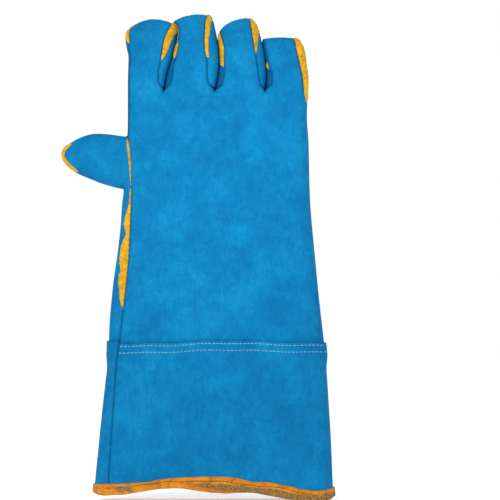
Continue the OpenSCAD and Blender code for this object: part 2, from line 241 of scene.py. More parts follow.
def palm_left(z):
    """Where the palm's face ends on the left, and its leather turns the edge."""
    turn = smoothstep(252, 262, z) * (1 - smoothstep(304, 314, z))
    return left_edge(z) + BACK_SEAM_IN + turn * 2.5


hem_low = smooth_line(HEM_LOW)
hem_high = smooth_line(HEM_HIGH)


def hem_z(x, line=hem_low):
    return np.interp(x, line[:, 0], line[:, 1])


# Each finger's outline, front seam and back seam, on the flat glove
first_finger, last_finger = FINGERS[0], FINGERS[-1]
for f in FINGERS:
    f.edge = flattened(smooth_line(f.outline))
    share = np.linspace(0, 1, len(f.edge))
    back_seam_in = [(0, 0), (0.14, 4.5), (0.86, 4.5), (1, 0)]
    if f is first_finger:
        back_seam_in[0] = (0, BACK_SEAM_IN)
    if f is last_finger:
        back_seam_in[-1] = (1, BACK_SEAM_IN)
    f.seam = inward(f.edge, table(f.seam_in, share))
    f.back_seam = inward(f.edge, table(back_seam_in, share))
first_finger.edge[0] = (left_edge(CUT_Z), CUT_Z)
first_finger.seam[0] = (left_seam(CUT_Z), CUT_Z)
first_finger.back_seam[0] = (left_edge(CUT_Z) + BACK_SEAM_IN, CUT_Z)
last_finger.edge[-1] = (right_edge(CUT_Z), CUT_Z)
last_finger.seam[-1] = (right_edge(CUT_Z) - RIGHT_SEAM_IN, CUT_Z)
last_finger.back_seam[-1] = (right_edge(CUT_Z) - BACK_SEAM_IN, CUT_Z)

# ---------------------------------------------------------------- distance to the outline and seams


def segments(line, radius):
    """A polyline's segments with a roll radius at each end."""
    r = np.broadcast_to(np.asarray(radius, float), (len(line),))
    return np.hstack([line[:-1], line[1:], r[:-1, None], r[1:, None]])


def nearest(x, z, segs):
    """Smallest distance over radius from each point to the segments, where it is under REACH."""
    order = np.argsort(z, axis=None)
    px, pz = x.ravel()[order], z.ravel()[order]
    best = np.full(px.shape, FAR)
    for x0, z0, x1, z1, r0, r1 in segs:
        i = np.searchsorted(pz, min(z0, z1) - REACH)
        j = np.searchsorted(pz, max(z0, z1) + REACH)
        dx, dz = x1 - x0, z1 - z0
        qx, qz = px[i:j] - x0, pz[i:j] - z0
        t = np.clip((qx * dx + qz * dz) / (dx * dx + dz * dz + 1e-12), 0, 1)
        d = np.hypot(qx - t * dx, qz - t * dz) / (r0 + (r1 - r0) * t)
        np.minimum(best[i:j], d, out=best[i:j])
    out = np.empty(px.shape)
    out[order] = best
    return out.reshape(x.shape)


def finger_radius(f):
    """How far in from its outline a finger's leather rolls over, along the outline."""
    share = np.linspace(0, 1, len(f.edge))
    radii = [(0, 5.6), (0.12, 9), (0.42, 8.4), (0.58, 8.4), (0.88, 9), (1, 5.6)]
    if f is first_finger:
        radii[0] = (0, 12)
    if f is last_finger:
        radii[-1] = (1, 12)
    return table(radii, share)


TRUNK_RADIUS = [(0, 17), (140, 16), (230, 14), (300, 12), (CUT_Z, 12)]
# The side edges run on below the hem, so that the mouth isn't rounded shut
BELOW_HEM = -30
left_line = smooth_line([(x, z if i else BELOW_HEM) for i, (x, z) in enumerate(LEFT_EDGE)])
right_line = smooth_line([(x, z if i else BELOW_HEM) for i, (x, z) in enumerate(RIGHT_EDGE)])
thumb_line = smooth_line(THUMB_EDGE)
upper_left_line = smooth_line(UPPER_LEFT_EDGE)
thumb_share = np.linspace(0, 1, len(thumb_line))
OUTLINE = np.vstack(
    [segments(left_line, table(TRUNK_RADIUS, left_line[:, 1])),
     segments(thumb_line, table([(0, 9), (0.2, 11), (0.8, 11), (1, 6)], thumb_share)),
     segments(upper_left_line, table([(THUMB_HIGH_Z, 6), (318, 11), (CUT_Z, 12)], upper_left_line[:, 1])),
     segments(right_line, table(TRUNK_RADIUS, right_line[:, 1]))]
    + [segments(f.edge, finger_radius(f)) for f in FINGERS])

left_seam_line = smooth_line(LEFT_SEAM)
seam_z = np.arange(-20, CUT_Z, 4.0)
right_back_seam = np.stack([right_edge(seam_z) - BACK_SEAM_IN, seam_z], -1)
thumb_root_line = np.array([(palm_left(z), z) for z in np.arange(THUMB_LOW_Z, THUMB_HIGH_Z + 1, 4.0)])
SEAMS = {
    FRONT: np.vstack([segments(left_seam_line, 1)] + [segments(f.seam, 1) for f in FINGERS]),
    BACK: np.vstack([segments(right_back_seam, 1), segments(thumb_root_line, 1)]
                    + [segments(f.back_seam, 1) for f in FINGERS]),
}

# ---------------------------------------------------------------- the glove's surface

DEPTH = [(0, 22), (14, 21.5), (70, 20.5), (LAP_Z, 19), (170, 17.5), (WRIST_Z, 16), (262, 15.5), (305, 15),
         (335, 13.6), (350, 12.4), (372, 11.6), (400, 10.6), (430, 9.5)]
THUMB_SHIFT = 3.5
PILLOW_POWER = 2.25
# The groove that a seam pulls into the leather, and the puckers beside it: depth and width, then pitch
GROOVE, PUCKER, PUCKER_PITCH = (0.75, 0.95), (0.22, 4), 5.2

# Soft folds pressed into the leather: start, end, depth, width
FOLDS = {
    FRONT: [((-46, 353), (-20, 338), 1.1, 3.2), ((-30, 341), (-6, 331), 0.9, 4),
            ((-8, 352), (12, 339), 0.9, 3),
            ((8, 341), (22, 338.5), 1.2, 1.8), ((48, 340.5), (62, 340.8), 1.1, 1.8),
            ((30, 352), (52, 343), 0.8, 3),
            ((-34, 340.5), (-22, 340.5), 1.0, 1.6), ((-64, 263), (-40, 274), 1.0, 3.4),
            ((-62, 303), (-42, 296), 0.9, 3.4), ((-66, 268), (-60, 300), 0.9, 4),
            ((-50, 214), (-10, 204), 0.9, 6),
            ((60, 209), (96, 216), 1.0, 6), ((-80, 96), (-60, 118), 0.8, 7), ((70, 60), (110, 90), 0.9, 9),
            ((-20, 60), (40, 46), 0.7, 10), ((64, 330), (90, 322), 0.8, 4),
            ((-88, 268), (-84, 305), 0.7, 3)],
    BACK: [((-50, 352), (-10, 340), 1.4, 4), ((0, 350), (40, 341), 1.4, 4), ((46, 350), (84, 341), 1.3, 4),
           ((-58, 214), (40, 206), 1.4, 6), ((30, 216), (90, 210), 1.2, 5), ((-56, 262), (-20, 300), 1.4, 6),
           ((-40, 318), (80, 312), 1.2, 7), ((-70, 60), (60, 90), 0.9, 10)],
}


def wrinkles(x, z, side):
    """Uneven leather: broad swells and smaller dents, in millimetres."""
    out = np.zeros(x.size)
    seed = 0.0 if side == FRONT else 40.0
    for i, (px, pz) in enumerate(zip(x.ravel(), z.ravel())):
        out[i] = (1.15 * noise.noise(Vector((px / 62, pz / 80, seed)))
                  + 0.55 * noise.noise(Vector((px / 22, pz / 27, seed + 9)))
                  + 0.2 * noise.noise(Vector((px / 8, pz / 9, seed + 17))))
    return out.reshape(x.shape)


def fold_depth(x, z, side):
    """How deep the soft folds are, with a low rise beside each."""
    out = np.zeros(x.shape)
    for (x0, z0), (x1, z1), deep, wide in FOLDS[side]:
        dx, dz = x1 - x0, z1 - z0
        t = np.clip(((x - x0) * dx + (z - z0) * dz) / (dx * dx + dz * dz), 0, 1)
        bow = 0.12 * math.hypot(dx, dz) * (0.25 - (t - 0.5) ** 2)
        d = np.hypot(x - x0 - t * dx, z - z0 - t * dz + bow)
        dip = np.exp(-(d / wide) ** 2) - 0.45 * np.exp(-((d - 1.7 * wide) / wide) ** 2)
        out += deep * np.sin(np.pi * np.clip(t, 0.06, 0.94)) * dip
    return out


def depth_at(x, z):
    """Half the glove's thickness, which is less at the thumb and the little finger."""
    deep = table(DEPTH, z)
    thumb = smoothstep(-54, -80, x) * smoothstep(240, 262, z) * (1 - smoothstep(306, 316, z))
    deep = deep + thumb * (11.6 - 1.6 * smoothstep(-80, -114, x) - deep)
    little = smoothstep(50, 66, x) * smoothstep(300, 350, z)
    return deep * (1 - 0.1 * little)


def bent(p):
    """Bends the flat glove at the knuckles, towards the palm."""
    turn = np.maximum(p[..., 2] - BEND_Z, 0) / BEND_RADIUS
    reach = BEND_RADIUS - p[..., 1]
    y = np.where(turn > 0, BEND_RADIUS - reach * np.cos(turn), p[..., 1])
    z = np.where(turn > 0, BEND_Z + reach * np.sin(turn), p[..., 2])
    return np.stack([p[..., 0], y, z], -1)


def surface(x, z, side, raised=0.0):
    """Points of the glove's front or back over the flat outline, raised off it by some millimetres."""
    x, z = np.broadcast_arrays(np.asarray(x, float), np.asarray(z, float))
    rim = np.clip(nearest(x, z, OUTLINE), 0, 1)
    pillow = (1 - (1 - rim) ** PILLOW_POWER) ** (1 / PILLOW_POWER)
    middle = (left_edge(z) + right_edge(z)) / 2
    half = (right_edge(z) - left_edge(z)) / 2
    crown = 0.93 + 0.07 * (1 - np.clip((x - middle) / half, -1, 1) ** 2)
    seam = nearest(x, z, SEAMS[side])
    pucker = 0.5 + 0.5 * np.cos((x + z) * 2 * np.pi / PUCKER_PITCH)
    groove = (GROOVE[0] * np.exp(-(seam / GROOVE[1]) ** 2)
              + PUCKER[0] * pucker * np.exp(-(seam / PUCKER[1]) ** 2))
    high = depth_at(x, z) * crown * pillow
    soft = np.minimum(1, high / 8)
    high = high + soft * (wrinkles(x, z, side) - fold_depth(x, z, side) - groove)
    high = high + raised * np.minimum(1, pillow * 1.4)
    shift = THUMB_SHIFT * smoothstep(-55, -74, x) * smoothstep(246, 264, z) * (1 - smoothstep(306, 312, z))
    widen = raised * (1 - pillow) * np.where(x > middle, 1, -1)
    return bent(np.stack([x + widen, shift + side * high, z], -1))


# ---------------------------------------------------------------- meshes


def link(name, verts, faces, material):
    """Makes an object from millimetres, which keeps its resting places for the materials to read."""
    places = np.asarray(verts) * MM
    mesh = bpy.data.meshes.new(name)
    mesh.from_pydata(places.tolist(), [], [tuple(f) for f in faces])
    mesh.shade_smooth()
    mesh.materials.append(material)
    rest = mesh.attributes.new("rest", "FLOAT_VECTOR", "POINT")
    rest.data.foreach_set("vector", places.astype(np.float32).ravel())
    obj = bpy.data.objects.new(name, mesh)
    bpy.context.scene.collection.objects.link(obj)
    return obj


def write_attribute(piece, name, values):
    attribute = piece.data.attributes.new(name, "FLOAT", "POINT")
    attribute.data.foreach_set("value", values.astype(np.float32))


def quads(ids, flip=False):
    """Faces between the rows and columns of a grid of vertex numbers."""
    a, b, c, d = ids[:-1, :-1], ids[:-1, 1:], ids[1:, 1:], ids[1:, :-1]
    order = (a, d, c, b) if flip else (a, b, c, d)
    return np.stack([q.ravel() for q in order], -1)


def tube_faces(rings, sides, flip=False):
    """Faces of a tube of rings, with both ends closed."""
    ids = np.arange(rings * sides).reshape(rings, sides)
    start, end = ids[0].tolist(), ids[-1].tolist()
    ends = [start, end[::-1]] if flip else [start[::-1], end]
    return quads(np.concatenate([ids, ids[:, :1]], 1), flip).tolist() + ends


class Skin:
    """The glove's outer surface as grids, whose normals agree wherever two grids meet.

    Columns run round the glove, left to right in front, and rows run up it.
    """

    def __init__(self):
        self.grids, self.seams, self.normals = {}, {}, {}

    def add(self, name, grid, seam):
        self.grids[name], self.seams[name] = grid, seam

    def settle(self):
        points = np.vstack([g.reshape(-1, 3) for g in self.grids.values()])
        _, same = np.unique(np.round(points, 3), axis=0, return_inverse=True)
        same = same.ravel()
        ids, first = {}, 0
        for name, g in self.grids.items():
            ids[name] = same[first:first + g[..., 0].size].reshape(g.shape[:2])
            first += ids[name].size
        total = np.zeros((same.max() + 1, 3))
        for name, g in self.grids.items():
            i = ids[name]
            n = np.cross(g[1:, 1:] - g[:-1, :-1], g[1:, :-1] - g[:-1, 1:])
            for corner in (i[:-1, :-1], i[:-1, 1:], i[1:, 1:], i[1:, :-1]):
                np.add.at(total, corner.ravel(), n.reshape(-1, 3))
        total /= np.linalg.norm(total, axis=1)[:, None] + 1e-12
        self.normals = {name: total[i] for name, i in ids.items()}


class Shell:
    """Gathers grids into one mesh with the material's thickness."""

    def __init__(self):
        self.points, self.normals, self.faces, self.seams, self.count = [], [], [], [], 0

    def take(self, points, point_normals, seam):
        self.points.append(points.reshape(-1, 3))
        self.normals.append(point_normals.reshape(-1, 3))
        self.seams.append(np.broadcast_to(seam, points.shape[:-1]).ravel())
        ids = self.count + np.arange(points[..., 0].size).reshape(points.shape[:2])
        self.count += ids.size
        return ids

    def sheet(self, outer, n, thick=LEATHER, seam=FAR):
        """The outer skin, the inner skin and the four cut edges."""
        inner = outer - n * thick
        self.faces.append(quads(self.take(outer, n, seam)))
        self.faces.append(quads(self.take(inner, -n, FAR), flip=True))
        edges = [(outer[:, 0], inner[:, 0], outer[:, 0] - outer[:, 1]),
                 (inner[:, -1], outer[:, -1], outer[:, -1] - outer[:, -2]),
                 (inner[0], outer[0], outer[0] - outer[1]),
                 (outer[-1], inner[-1], outer[-1] - outer[-2])]
        for a, b, way in edges:
            edge_n = way / (np.linalg.norm(way, axis=-1)[:, None] + 1e-9)
            self.faces.append(quads(self.take(np.stack([a, b]), np.stack([edge_n, edge_n]), 0.0)))

    def piece(self, name, material, slot_name):
        obj = link(name, np.vstack(self.points), np.vstack(self.faces).tolist(), material)
        obj.data.normals_split_custom_set_from_vertices(np.vstack(self.normals).tolist())
        write_attribute(obj, "seam", np.concatenate(self.seams))
        return obj


# ---------------------------------------------------------------- the leather's grids

ROWS_UP = 40
THUMB_ROWS = 30
TURN_STEPS = 8
COLUMNS = {"index": 22, "middle": 30, "ring": 30, "little": 26}
skin = Skin()


def at_index(line, share):
    i = np.asarray(share, float) * (len(line) - 1)
    return np.stack([np.interp(i, np.arange(len(line)), line[:, k]) for k in (0, 1)], -1)


def gathered(steps):
    """Shares from 0 to 1, a little closer together at both ends."""
    t = np.linspace(0, 1, steps + 1)
    return 0.5 * t + 0.5 * (0.5 - 0.5 * np.cos(np.pi * t))


def coons(root, left, tip, right, across):
    """A grid of flat points filling four curves."""
    u = np.linspace(0, 1, len(left))[:, None, None]
    v = across[None, :, None]
    sides = (1 - v) * left[:, None] + v * right[:, None]
    ends = (1 - u) * root[None] + u * tip[None]
    corners = (1 - u) * ((1 - v) * root[0] + v * root[-1]) + u * ((1 - v) * tip[0] + v * tip[-1])
    return sides + ends - corners


def turned(first, edge, last):
    """Flat points from a front seam out to the edge, and from the edge in to a back seam."""
    t = np.linspace(0, 1, TURN_STEPS + 1)[None, :, None]
    front = edge[:, None] + (first - edge)[:, None] * (1 - t) ** 2
    back = edge[:, None] + (last - edge)[:, None] * t ** 2
    return front, back


def add_panel(source, name, flat, side, raised=0.0):
    """Adds a panel over a grid of flat points."""
    grid = surface(flat[..., 0], flat[..., 1], side, raised)
    seam = nearest(flat[..., 0], flat[..., 1], SEAMS[side])
    if side == BACK:
        grid, seam = grid[:, ::-1], seam[:, ::-1]
    source.add(name, grid, seam)


def add_turn(source, name, lines, outward=True, raised=0.0):
    """Adds the band that turns an edge, between a front seam, the edge and a back seam.

    Its columns run front to back, or back to front on a left edge.
    """
    grids, seams = [], []
    for flat, side in zip(turned(*lines), (FRONT, BACK)):
        grids.append(surface(flat[..., 0], flat[..., 1], side, raised))
        seams.append(nearest(flat[..., 0], flat[..., 1], SEAMS[side]))
    grid = np.concatenate([grids[0][:, :-1], grids[1]], 1)
    seam = np.concatenate([seams[0][:, :-1], seams[1]], 1)
    if not outward:
        grid, seam = grid[:, ::-1], seam[:, ::-1]
    source.add(name, grid, seam)


def side_samples(line, low, high, crotch, steps=ROWS_UP):
    """Points up one side of a finger, starting on the cut line straight below its crotch if it has one."""
    if crotch is None:
        return at_index(line, np.linspace(low, high, steps + 1))
    return np.vstack([[crotch[0], CUT_Z], at_index(line, np.linspace(low, high, steps))])


def finger_grids(f, left_crotch, right_crotch):
    across = gathered(COLUMNS[f.name])
    low, high = f.corners
    f.roots = {}
    for side, line in ((FRONT, f.seam), (BACK, f.back_seam)):
        left = side_samples(line, 0, low, left_crotch)
        right = side_samples(line, 1, high, right_crotch)
        tip = at_index(line, low + (high - low) * across)
        root = left[0] + (right[0] - left[0]) * across[:, None]
        f.roots[side] = root[:, 0]
        name = f.name + ("_back" if side == FRONT else "_palm")
        add_panel(skin, name, coons(root, left, tip, right, across), side)
    middle = len(across) // 2
    tip_shares = low + (high - low) * across
    first = 1 if left_crotch else 0
    rise = np.linspace(0, low, ROWS_UP + 1 - first)
    fall = np.linspace(1, high, ROWS_UP + 1 - (1 if right_crotch else 0))[::-1]
    f.left_shares = np.concatenate([rise[:-1], tip_shares[:middle + 1]])
    f.right_shares = np.concatenate([tip_shares[middle:], fall[1:]])
    for name, shares in (("_left_wall", f.left_shares), ("_right_wall", f.right_shares)):
        lines = [at_index(line, shares) for line in (f.seam, f.edge, f.back_seam)]
        add_turn(skin, f.name + name, lines, outward=False)


gaps = [None] + CROTCHES + [None]
for number, f in enumerate(FINGERS):
    finger_grids(f, gaps[number], gaps[number + 1])


def shares_of(side):
    """Where the trunk's columns meet the fingers' roots, as shares of the width between the seams."""
    x = np.concatenate([f.roots[side] if i == 0 else f.roots[side][1:] for i, f in enumerate(FINGERS)])
    return (x - x[0]) / (x[-1] - x[0])


def rows(*stops, step=1.9):
    out = [stops[0]]
    for a, b in zip(stops, stops[1:]):
        n = max(2, round((b - a) / step))
        out += list(np.linspace(a, b, n + 1)[1:])
    return np.array(out)


def line_at(edge, z):
    return np.stack([edge(z), z], -1)


def across_panel(z, start, end, shares):
    a, b = start(z), end(z)
    x = a[:, None] + (b - a)[:, None] * shares[None]
    return np.stack([x, np.broadcast_to(z[:, None], x.shape)], -1)


def front_right(z):
    return right_edge(z) - RIGHT_SEAM_IN


def back_right(z):
    return right_edge(z) - BACK_SEAM_IN


# The thumb's rows run out along it; its root lies between the back panel's seam and the palm's
root_rows = rows(THUMB_LOW_Z, THUMB_HIGH_Z)
panel_rows = rows(UNDERLAP_Z, THUMB_LOW_Z, THUMB_HIGH_Z, CUT_Z)
strip_rows = {"lower": rows(UNDERLAP_Z, THUMB_LOW_Z), "upper": rows(THUMB_HIGH_Z, CUT_Z)}
LEFT_LINES, RIGHT_LINES = (left_seam, left_edge, palm_left), (front_right, right_edge, back_right)
add_panel(skin, "hand_back", across_panel(panel_rows, left_seam, front_right, shares_of(FRONT)), FRONT)
add_panel(skin, "hand_palm", across_panel(panel_rows, palm_left, back_right, shares_of(BACK)), BACK)
add_turn(skin, "hand_right", [line_at(line, panel_rows) for line in RIGHT_LINES])
for part, z in strip_rows.items():
    add_turn(skin, "hand_left_" + part, [line_at(line, z) for line in LEFT_LINES], outward=False)


def thumb_root_at(z):
    """The front and back halves of the band that turns the left edge, at one height."""
    return [half[0] for half in turned(*(line_at(line, np.array([z])) for line in LEFT_LINES))]


def thumb_grids():
    low_front, low_back = thumb_root_at(THUMB_LOW_Z)
    top_front, top_back = thumb_root_at(THUMB_HIGH_Z)
    roots = {FRONT: np.vstack([low_front[::-1], line_at(left_seam, root_rows)[1:-1], top_front]),
             BACK: np.vstack([low_back, line_at(palm_left, root_rows)[1:-1], top_back[::-1]])}
    across = np.linspace(0, 1, len(roots[FRONT]))
    low, high = 0.38, 0.64
    left = at_index(thumb_line, np.linspace(0, low, THUMB_ROWS + 1))
    right = at_index(thumb_line, np.linspace(1, high, THUMB_ROWS + 1))
    tip = at_index(thumb_line, low + (high - low) * across)
    for side, root in roots.items():
        root[0], root[-1] = left[0], right[0]
        name = "thumb_back" if side == FRONT else "thumb_palm"
        add_panel(skin, name, coons(root, left, tip, right, across), side)


thumb_grids()
skin.settle()

# ---------------------------------------------------------------- the gauntlet's lower part and the hem


def loop_shares(steps):
    return 0.5 - 0.5 * np.cos(np.pi * np.linspace(0, 1, steps + 1))


def raised_lap(z):
    """The gauntlet lies over the hand's panels along its top edge."""
    return 1.9 * smoothstep(LAP_Z - 24, LAP_Z - 8, z)


GAUNTLET_ROWS = 68
GAUNTLET_COLUMNS = 104
lower = Skin()


def gauntlet_rows(x0, top):
    """Heights up a column whose foot follows the wavy hem."""
    t = np.linspace(0, 1, GAUNTLET_ROWS + 1)[:, None]
    foot = hem_z(x0)[None] + 1.5
    return foot + (top(x0)[None] - foot) * t


def lap_line(x):
    """The gauntlet's top edge, cut a little unevenly and highest near its middle."""
    arch = 1.7 * np.exp(-((x - 20) / 40) ** 2)
    return LAP_Z + 0.5 + arch + 0.4 * np.sin(x / 31) + 0.35 * np.sin(x / 7.3 + 1)


def lap_line_palm(x):
    return lap_line(x) + 1.0


def gauntlet_panel(name, start, end, side, top):
    s = np.linspace(0, 1, GAUNTLET_COLUMNS + 1)
    x0 = start(LAP_Z / 2) + (end(LAP_Z / 2) - start(LAP_Z / 2)) * s
    z = gauntlet_rows(x0, top)
    x = start(z) + (end(z) - start(z)) * s[None]
    add_panel(lower, name, np.stack([x, z], -1), side, raised_lap(z))


def gauntlet_turn(name, lines, outward, top):
    """The band of gauntlet leather that turns the left or right edge."""
    z = gauntlet_rows(np.array([float(lines[1](LAP_Z / 2))]), top)[:, 0]
    add_turn(lower, name, [line_at(line, z) for line in lines], outward, raised_lap(z)[:, None])


gauntlet_panel("back", left_seam, front_right, FRONT, lap_line)
gauntlet_panel("palm", palm_left, back_right, BACK, lap_line_palm)
gauntlet_turn("right", RIGHT_LINES, True, lap_line)
gauntlet_turn("left", LEFT_LINES, False, lap_line_palm)
lower.settle()

# ---------------------------------------------------------------- swept and scattered small pieces


def on_surface(points, side, raised=0.0):
    """Surface points and outward normals under flat points."""
    x, z = points[:, 0], points[:, 1]
    h = 0.35
    p = surface(x, z, side, raised)
    px = surface(x + h, z, side, raised) - surface(x - h, z, side, raised)
    pz = surface(x, z + h, side, raised) - surface(x, z - h, side, raised)
    n = np.cross(px, pz) * (1 if side == FRONT else -1)
    return p, n / (np.linalg.norm(n, axis=1)[:, None] + 1e-9)


class Pile:
    """Gathers many bits of thread into one mesh."""

    def __init__(self):
        self.verts, self.faces, self.count = [], [], 0

    def add(self, verts, faces):
        self.verts.append(np.asarray(verts, float))
        self.faces += [[i + self.count for i in f] for f in faces]
        self.count += len(verts)

    def piece(self, name, material):
        return link(name, np.vstack(self.verts), self.faces, material)


def capsule(p, q, radius, flat, up, sides=8):
    """A round-ended bar from p to q, flattened along up."""
    way = q - p
    size = np.linalg.norm(way)
    way = way / (size + 1e-9)
    b = np.cross(way, up)
    b /= np.linalg.norm(b) + 1e-9
    c = np.cross(b, way)
    angles = 2 * np.pi * np.arange(sides)[:, None] / sides
    ring = b * np.cos(angles) + c * np.sin(angles) * flat
    run = size / radius
    stations = [(-0.9, 0.35), (-0.55, 0.8), (0, 1), (run, 1), (run + 0.55, 0.8), (run + 0.9, 0.35)]
    verts = [p + way * place * radius + ring * radius * share for place, share in stations]
    return np.vstack(verts), tube_faces(len(stations), sides)


def thread_tube(points, radius, sides=6):
    """Vertices and faces of a thin thread through points."""
    points = np.asarray(points, float)
    tangent = np.gradient(points, axis=0)
    tangent /= np.linalg.norm(tangent, axis=1)[:, None] + 1e-9
    b = np.cross(tangent, np.array([0.31, 0.9, 0.28]))
    b /= np.linalg.norm(b, axis=1)[:, None] + 1e-9
    c = np.cross(b, tangent)
    a = 2 * np.pi * np.arange(sides)[None, :, None] / sides
    grid = points[:, None] + radius * (b[:, None] * np.cos(a) + c[:, None] * np.sin(a))
    return grid.reshape(-1, 3), tube_faces(len(points), sides)


# ---------------------------------------------------------------- materials

# A painted pool of light on the middle of the hand, with painted shade darkening the leather away from it:
# the spread, then the pool's centre in metres scaled by that spread
LIGHT_POOL_SPREAD = (0.9, 0.0, 0.55)
LIGHT_POOL_CENTRE = (0.02, 0, 0.55 * 0.285)


class Nodes:
    """A small helper for node materials."""

    def __init__(self, name):
        self.material = bpy.data.materials.new(name)
        self.material.use_nodes = True
        self.tree = self.material.node_tree
        self.shader = self.tree.nodes["Principled BSDF"]

    def new(self, kind, **inputs):
        node = self.tree.nodes.new("ShaderNode" + kind)
        for key, value in inputs.items():
            if hasattr(node, key):
                setattr(node, key, value)
            else:
                self.put(node.inputs[key.replace("_", " ")], value)
        return node

    def put(self, socket, value):
        if isinstance(value, bpy.types.NodeSocket):
            self.tree.links.new(value, socket)
        else:
            socket.default_value = value

    def attribute(self, name, output="Vector"):
        return self.new("Attribute", attribute_name=name).outputs[output]

    def mapped(self, vector, scale):
        node = self.new("Mapping", vector_type="POINT")
        self.put(node.inputs["Vector"], vector)
        node.inputs["Scale"].default_value = scale
        return node.outputs[0]

    def noise(self, vector, scale, detail=4.0, rough=0.55, distortion=0.0):
        node = self.new("TexNoise", Scale=scale, Detail=detail, Roughness=rough, Distortion=distortion)
        self.put(node.inputs["Vector"], vector)
        return node.outputs["Fac"]

    def ramp(self, value, stops):
        node = self.new("ValToRGB")
        ends = node.color_ramp.elements
        while len(ends) < len(stops):
            ends.new(0.5)
        for end, (place, colour) in zip(ends, stops):
            end.position = place
            end.color = (*colour, 1)
        self.put(node.inputs["Fac"], value)
        return node.outputs["Color"]

    def math(self, operation, a, b=0.0):
        node = self.new("Math", operation=operation)
        self.put(node.inputs[0], a)
        self.put(node.inputs[1], b)
        return node.outputs[0]

    def fade(self, value, low, high, start=0.0, end=1.0):
        node = self.new("MapRange", interpolation_type="SMOOTHSTEP")
        for key, number in (("From Min", low), ("From Max", high), ("To Min", start), ("To Max", end)):
            node.inputs[key].default_value = number
        self.put(node.inputs["Value"], value)
        return node.outputs["Result"]

    def blend(self, parts):
        """The sum of some values, each times its share."""
        total = None
        for value, share in parts:
            part = self.math("MULTIPLY", value, share)
            total = part if total is None else self.math("ADD", total, part)
        return total

    def mix(self, share, a, b):
        node = self.new("Mix", data_type="RGBA")
        self.put(node.inputs[0], share)
        self.put(node.inputs[6], (*a, 1) if isinstance(a, tuple) else a)
        self.put(node.inputs[7], (*b, 1) if isinstance(b, tuple) else b)
        return node.outputs[2]

    def bump(self, height, distance, strength=1.0, normal=None):
        node = self.new("Bump", Distance=distance, Strength=strength)
        self.put(node.inputs["Height"], height)
        if normal is not None:
            self.put(node.inputs["Normal"], normal)
        return node.outputs[0]

    def finish(self, colour, normal=None, roughness=0.9, sheen=0.0, tint=(1, 1, 1), specular=0.3):
        s = self.shader.inputs
        self.put(s["Base Color"], colour)
        if normal is not None:
            self.put(s["Normal"], normal)
        self.put(s["Roughness"], roughness)
        s["Sheen Weight"].default_value = sheen
        s["Sheen Roughness"].default_value = 0.5
        s["Sheen Tint"].default_value = (*tint, 1)
        s["Specular IOR Level"].default_value = specular
        return self.material


def scaled(colour, share):
    return tuple(c * share for c in colour)


def suede(name, dark, base, light):
    """Split cowhide: a short nap, cloudy dye, seams darkened with painted shade and soil, and a painted pool
    of light on the middle of the hand, with painted shade darkening the leather away from it.

    The foot of a side wall, where an attribute says that it lies deep in a gap between fingers, is darkened
    with painted shade as well.
    """
    m = Nodes(name)
    rest = m.attribute("rest")
    nap = m.noise(m.mapped(rest, (1.0, 1.0, 0.45)), 1150, 4, 0.65)
    streaks = m.noise(m.mapped(rest, (1.0, 1.0, 0.22)), 420, 5, 0.7, 1.2)
    tone = m.blend([(m.noise(rest, 34, 3, 0.5, 0.4), 0.34), (m.noise(rest, 120, 5, 0.6, 0.8), 0.26),
                    (streaks, 0.22), (nap, 0.18)])
    colour = m.ramp(tone, [(0.37, dark), (0.5, base), (0.63, light)])
    colour = m.mix(m.fade(m.noise(rest, 2600, 2, 0.6), 0.35, 0.7, 0.0, 0.4), colour, light)
    # Painted light and shade: palest at a painted pool of light on the middle of the hand, darker away from
    # it
    away = m.new("VectorMath", operation="DISTANCE")
    m.put(away.inputs[0], m.mapped(rest, LIGHT_POOL_SPREAD))
    away.inputs[1].default_value = LIGHT_POOL_CENTRE
    colour = m.mix(m.fade(away.outputs["Value"], 0.02, 0.125, 0.0, 0.185), colour, (0, 0, 0))
    scuff = m.fade(m.noise(m.mapped(rest, (2.2, 2.2, 0.5)), 60, 6, 0.75, 2.0), 0.62, 0.78, 0.0, 0.3)
    colour = m.mix(scuff, colour, light)
    flecks = m.fade(m.noise(m.mapped(rest, (1, 1, 1.5)), 950, 3, 0.65), 0.4, 0.56, 0.2, 0.0)
    colour = m.mix(flecks, colour, dark)
    # Painted shade and soil: the leather darkens close to the seams
    seam_shade_and_soil = m.fade(m.attribute("seam", "Fac"), 0.35, 1.5, 0.6, 0.0)
    colour = m.mix(seam_shade_and_soil, colour, scaled(dark, 0.42))
    # Painted shade at the foot of a side wall, deep in the gap between two fingers
    colour = m.mix(m.math("MULTIPLY", m.attribute("hollow", "Fac"), 0.9), colour, scaled(dark, 0.62))
    normal = m.bump(m.noise(rest, 210, 4, 0.6), 0.0011, 0.5)
    normal = m.bump(streaks, 0.0006, 0.5, normal)
    normal = m.bump(nap, 0.00045, 0.75, normal)
    return m.finish(colour, normal, m.fade(tone, 0.3, 0.7, 0.97, 0.9), 0.08, light, 0.08)


def welting(name, dark, base, light):
    """A folded strip of thin leather, with a cloudy tone and fine paler flecks."""
    m = Nodes(name)
    rest = m.attribute("rest")
    tone = m.noise(rest, 260, 5, 0.62, 0.6)
    fine = m.noise(rest, 1700, 3, 0.6)
    colour = m.ramp(tone, [(0.32, dark), (0.5, base), (0.68, light)])
    colour = m.mix(m.fade(fine, 0.45, 0.75, 0.0, 0.25), colour, light)
    normal = m.bump(tone, 0.0009, 0.6)
    normal = m.bump(fine, 0.0004, 0.7, normal)
    return m.finish(colour, normal, 0.85, 0.2, light, 0.28)


